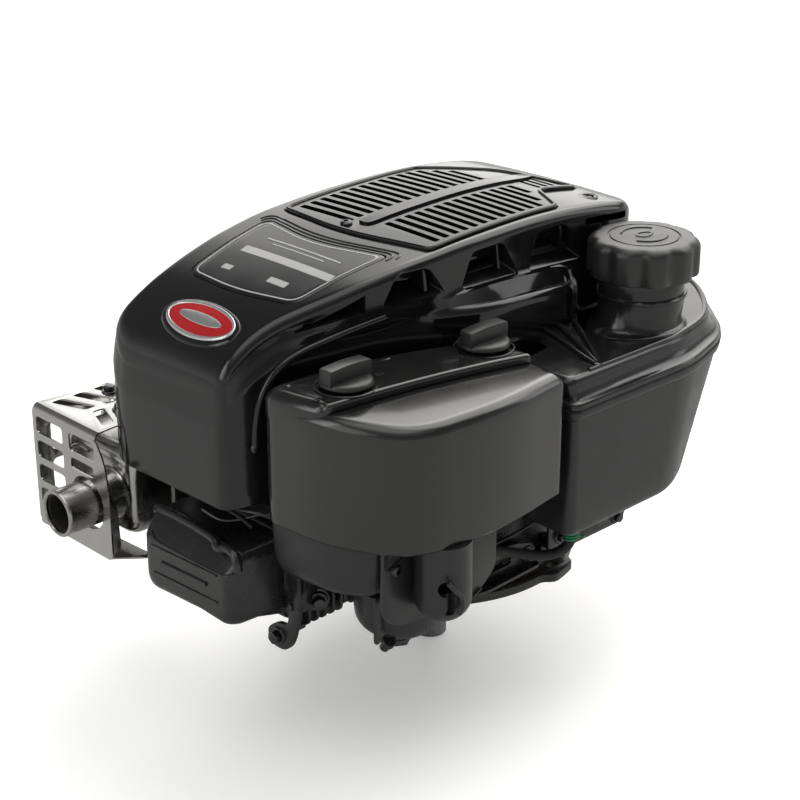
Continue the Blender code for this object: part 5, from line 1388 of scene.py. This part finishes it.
# Rope that stretches between the guide and the handle
rope = tube([(GRIP_X, y, GRIP_Z) for y in (66, 86, 100, 113)], 1.7, steps=24)
rope.name = "starter_rope"
rope.data.name = "starter_rope"
rope.data.transform(TO_WORLD)
rope.data.materials.clear()
rope.data.materials.append(RUBBER)
rope.data.shade_smooth()
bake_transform(rope)

# ================================================================ finish on the kept pieces
NODE_FINISH = {
    "crankshaft_flywheel_end": STEEL, "crank_gear": STEEL, "starter_cup": STEEL,
    "flywheel_nut": ZINC, "flywheel": ALLOY, "head_gasket": ZINC, "piston": ALLOY,
    "connecting_rod": ALLOY, "camshaft": IRON, "piston_ring": IRON, "wrist_pin": STEEL,
    "oil_seal": RUBBER, "fuel_cap_liner": RUBBER, "air_filter": PAPER, "spark_plug": CERAMIC,
    "ignition_coil": SATIN, "starter_pulley": SATIN, "starter_frame": ENAMEL,
    "governor_lever": ZINC}
WORD_FINISH = [              # for the other names, the first match counts
    (("valve", "spring", "rocker", "pushrod", "shaft", "pin", "nut", "gear"), STEEL),
    (("housing", "cover", "upper", "grille"), GLOSS), (("case", "sump", "head"), CAST),
    (("muffler",), STAINLESS), (("",), SATIN)]
BEVELLED = ("flywheel", "starter_cup", "flywheel_nut", "starter_pulley", "starter_frame",
            "connecting_rod", "piston", "spark_plug", "ignition_coil")
for name, obj in NODES.items():
    by_word = next(material for words, material in WORD_FINISH
                   if any(word in name.lower() for word in words))
    dress(obj.data, NODE_FINISH.get(name, by_word), 32)
    if not obj.hide_render and name in BEVELLED:
        bevel = obj.modifiers.new("edge", "BEVEL")
        bevel.width = 0.0005
        bevel.segments = 2
        bevel.limit_method = "ANGLE"
        bevel.angle_limit = math.radians(40)

# ================================================================ floor
bm = bmesh.new()
bmesh.ops.create_grid(bm, x_segments=1, y_segments=1, size=12.0)
mesh = bpy.data.meshes.new("floor")
bm.to_mesh(mesh)
bm.free()
floor = add_object(mesh, "floor")
material, tree, shader, place = new_material("floor_paper")
feed(tree, shader, {"Base Color": tint(tree, noise(tree, place, scale=3.0, detail=3),
                                       (0.87, 0.87, 0.865), (0.90, 0.90, 0.895)),
                    "Roughness": 0.9, "Specular IOR Level": 0.1})
# Reflections see a darker floor than the camera does, so black mouldings stay black.
grey = node(tree, "BsdfDiffuse", {"Color": (0.50, 0.50, 0.497, 1)})
path = node(tree, "LightPath")
glow = node(tree, "Emission", {"Color": (0.26, 0.26, 0.258, 1)})
paper = node(tree, "AddShader", {0: shader.outputs["BSDF"], 1: glow.outputs["Emission"]})
seen = node(tree, "MixShader", {"Fac": path.outputs["Is Glossy Ray"],
                                1: paper.outputs["Shader"], 2: grey.outputs["BSDF"]})
feed(tree, tree.nodes["Material Output"], {"Surface": seen.outputs["Shader"]})
mesh.materials.append(material)

# ================================================================ world
HORIZON, ZENITH = (0.86, 0.86, 0.86, 1), (0.12, 0.12, 0.123, 1)
SKY_STOPS = ((0.10, 0.66), (0.22, 0.40), (0.45, 0.22), (0.75, 0.14))    # (height, brightness)
WARMTH = (1.0, 0.985, 0.955)    # colour of the light patches
# Soft patches: (direction, cosine at the outer rim, cosine at the full core, brightness)
PATCHES = (((0.65, 0.64, 0.42), 0.865, 0.965, 1.7), ((0.60, 0.12, 0.78), 0.80, 0.95, 3.2),
           ((-0.10, -0.05, 0.99), 0.86, 0.97, 1.4), ((-0.92, 0.10, 0.46), 0.935, 0.975, 1.4))
world = bpy.data.worlds.new("studio")
SCENE.world = world
world.use_nodes = True
tree = world.node_tree
incoming = node(tree, "NewGeometry").outputs["Incoming"]
height = node(tree, "SeparateXYZ", {0: incoming}).outputs["Z"]
up = node(tree, "Math", {0: height, 1: -1.0}, operation="MULTIPLY").outputs[0]
sky = node(tree, "ValToRGB", {"Fac": up})
stops = sky.color_ramp.elements
stops[0].position, stops[0].color = 0.0, HORIZON
stops[1].position, stops[1].color = 1.0, ZENITH
for position, value in SKY_STOPS:
    stops.new(position).color = (value, value, value * 0.995, 1)
total = None
for direction, rim_cos, core_cos, value in PATCHES:
    dot = node(tree, "VectorMath", {0: incoming, 1: tuple(-Vector(direction).normalized())},
               operation="DOT_PRODUCT").outputs["Value"]
    patch = node(tree, "MapRange", {"From Min": rim_cos, "From Max": core_cos, "To Min": 0.0,
                                    "To Max": value, "Value": dot},
                 interpolation_type="SMOOTHSTEP").outputs["Result"]
    total = patch if total is None else node(tree, "Math", {0: total, 1: patch},
                                             operation="ADD").outputs[0]
warm = node(tree, "CombineColor", {
    i: node(tree, "Math", {0: total, 1: share}, operation="MULTIPLY").outputs[0]
    for i, share in enumerate(WARMTH)})
both = node(tree, "VectorMath", {0: sky.outputs["Color"], 1: warm.outputs["Color"]},
            operation="ADD")
feed(tree, tree.nodes["Background"], {"Color": both.outputs["Vector"], "Strength": 1.0})


# ================================================================ lights and camera
def softbox(name, direction, distance, power, size=(0.5, 1.4), target=(-0.02, -0.02, 0.25)):
    """Rectangular light in metres and watts, aimed at the target."""
    light = bpy.data.lights.new(name, "AREA")
    light.shape = "RECTANGLE"
    light.size, light.size_y = size
    light.energy = power
    obj = add_object(light, name)
    away = Vector(direction).normalized()
    obj.location = Vector(target) + away * distance
    obj.rotation_euler = (-away).to_track_quat("-Z", "Y").to_euler()


softbox("left_strip", direction=(-1.0, 0.35, 0.62), distance=2.1, power=5.0)
softbox("right_strip", direction=(0.95, -0.55, 0.55), distance=2.2, power=4.0)
light = bpy.data.lights.new("soft_sky", "SUN")
light.energy = 0.35
light.angle = math.radians(70)
sun = add_object(light, "soft_sky")
sun.rotation_euler = (math.radians(12), math.radians(-10), 0)

lens = bpy.data.cameras.new("camera")
lens.sensor_width = 36
lens.lens = 83.61
lens.clip_start, lens.clip_end = 0.02, 60
camera = add_object(lens, "camera")
camera.location = (-0.8830, -0.8812, 0.7214)
camera.rotation_euler = Vector((0.6394, 0.6621, -0.3907)).to_track_quat("-Z", "Y").to_euler()
SCENE.camera = camera
SCENE.view_settings.view_transform = "Standard"
SCENE.view_settings.look = "None"
SCENE.view_settings.exposure = 0.0
SCENE.view_settings.gamma = 1.0
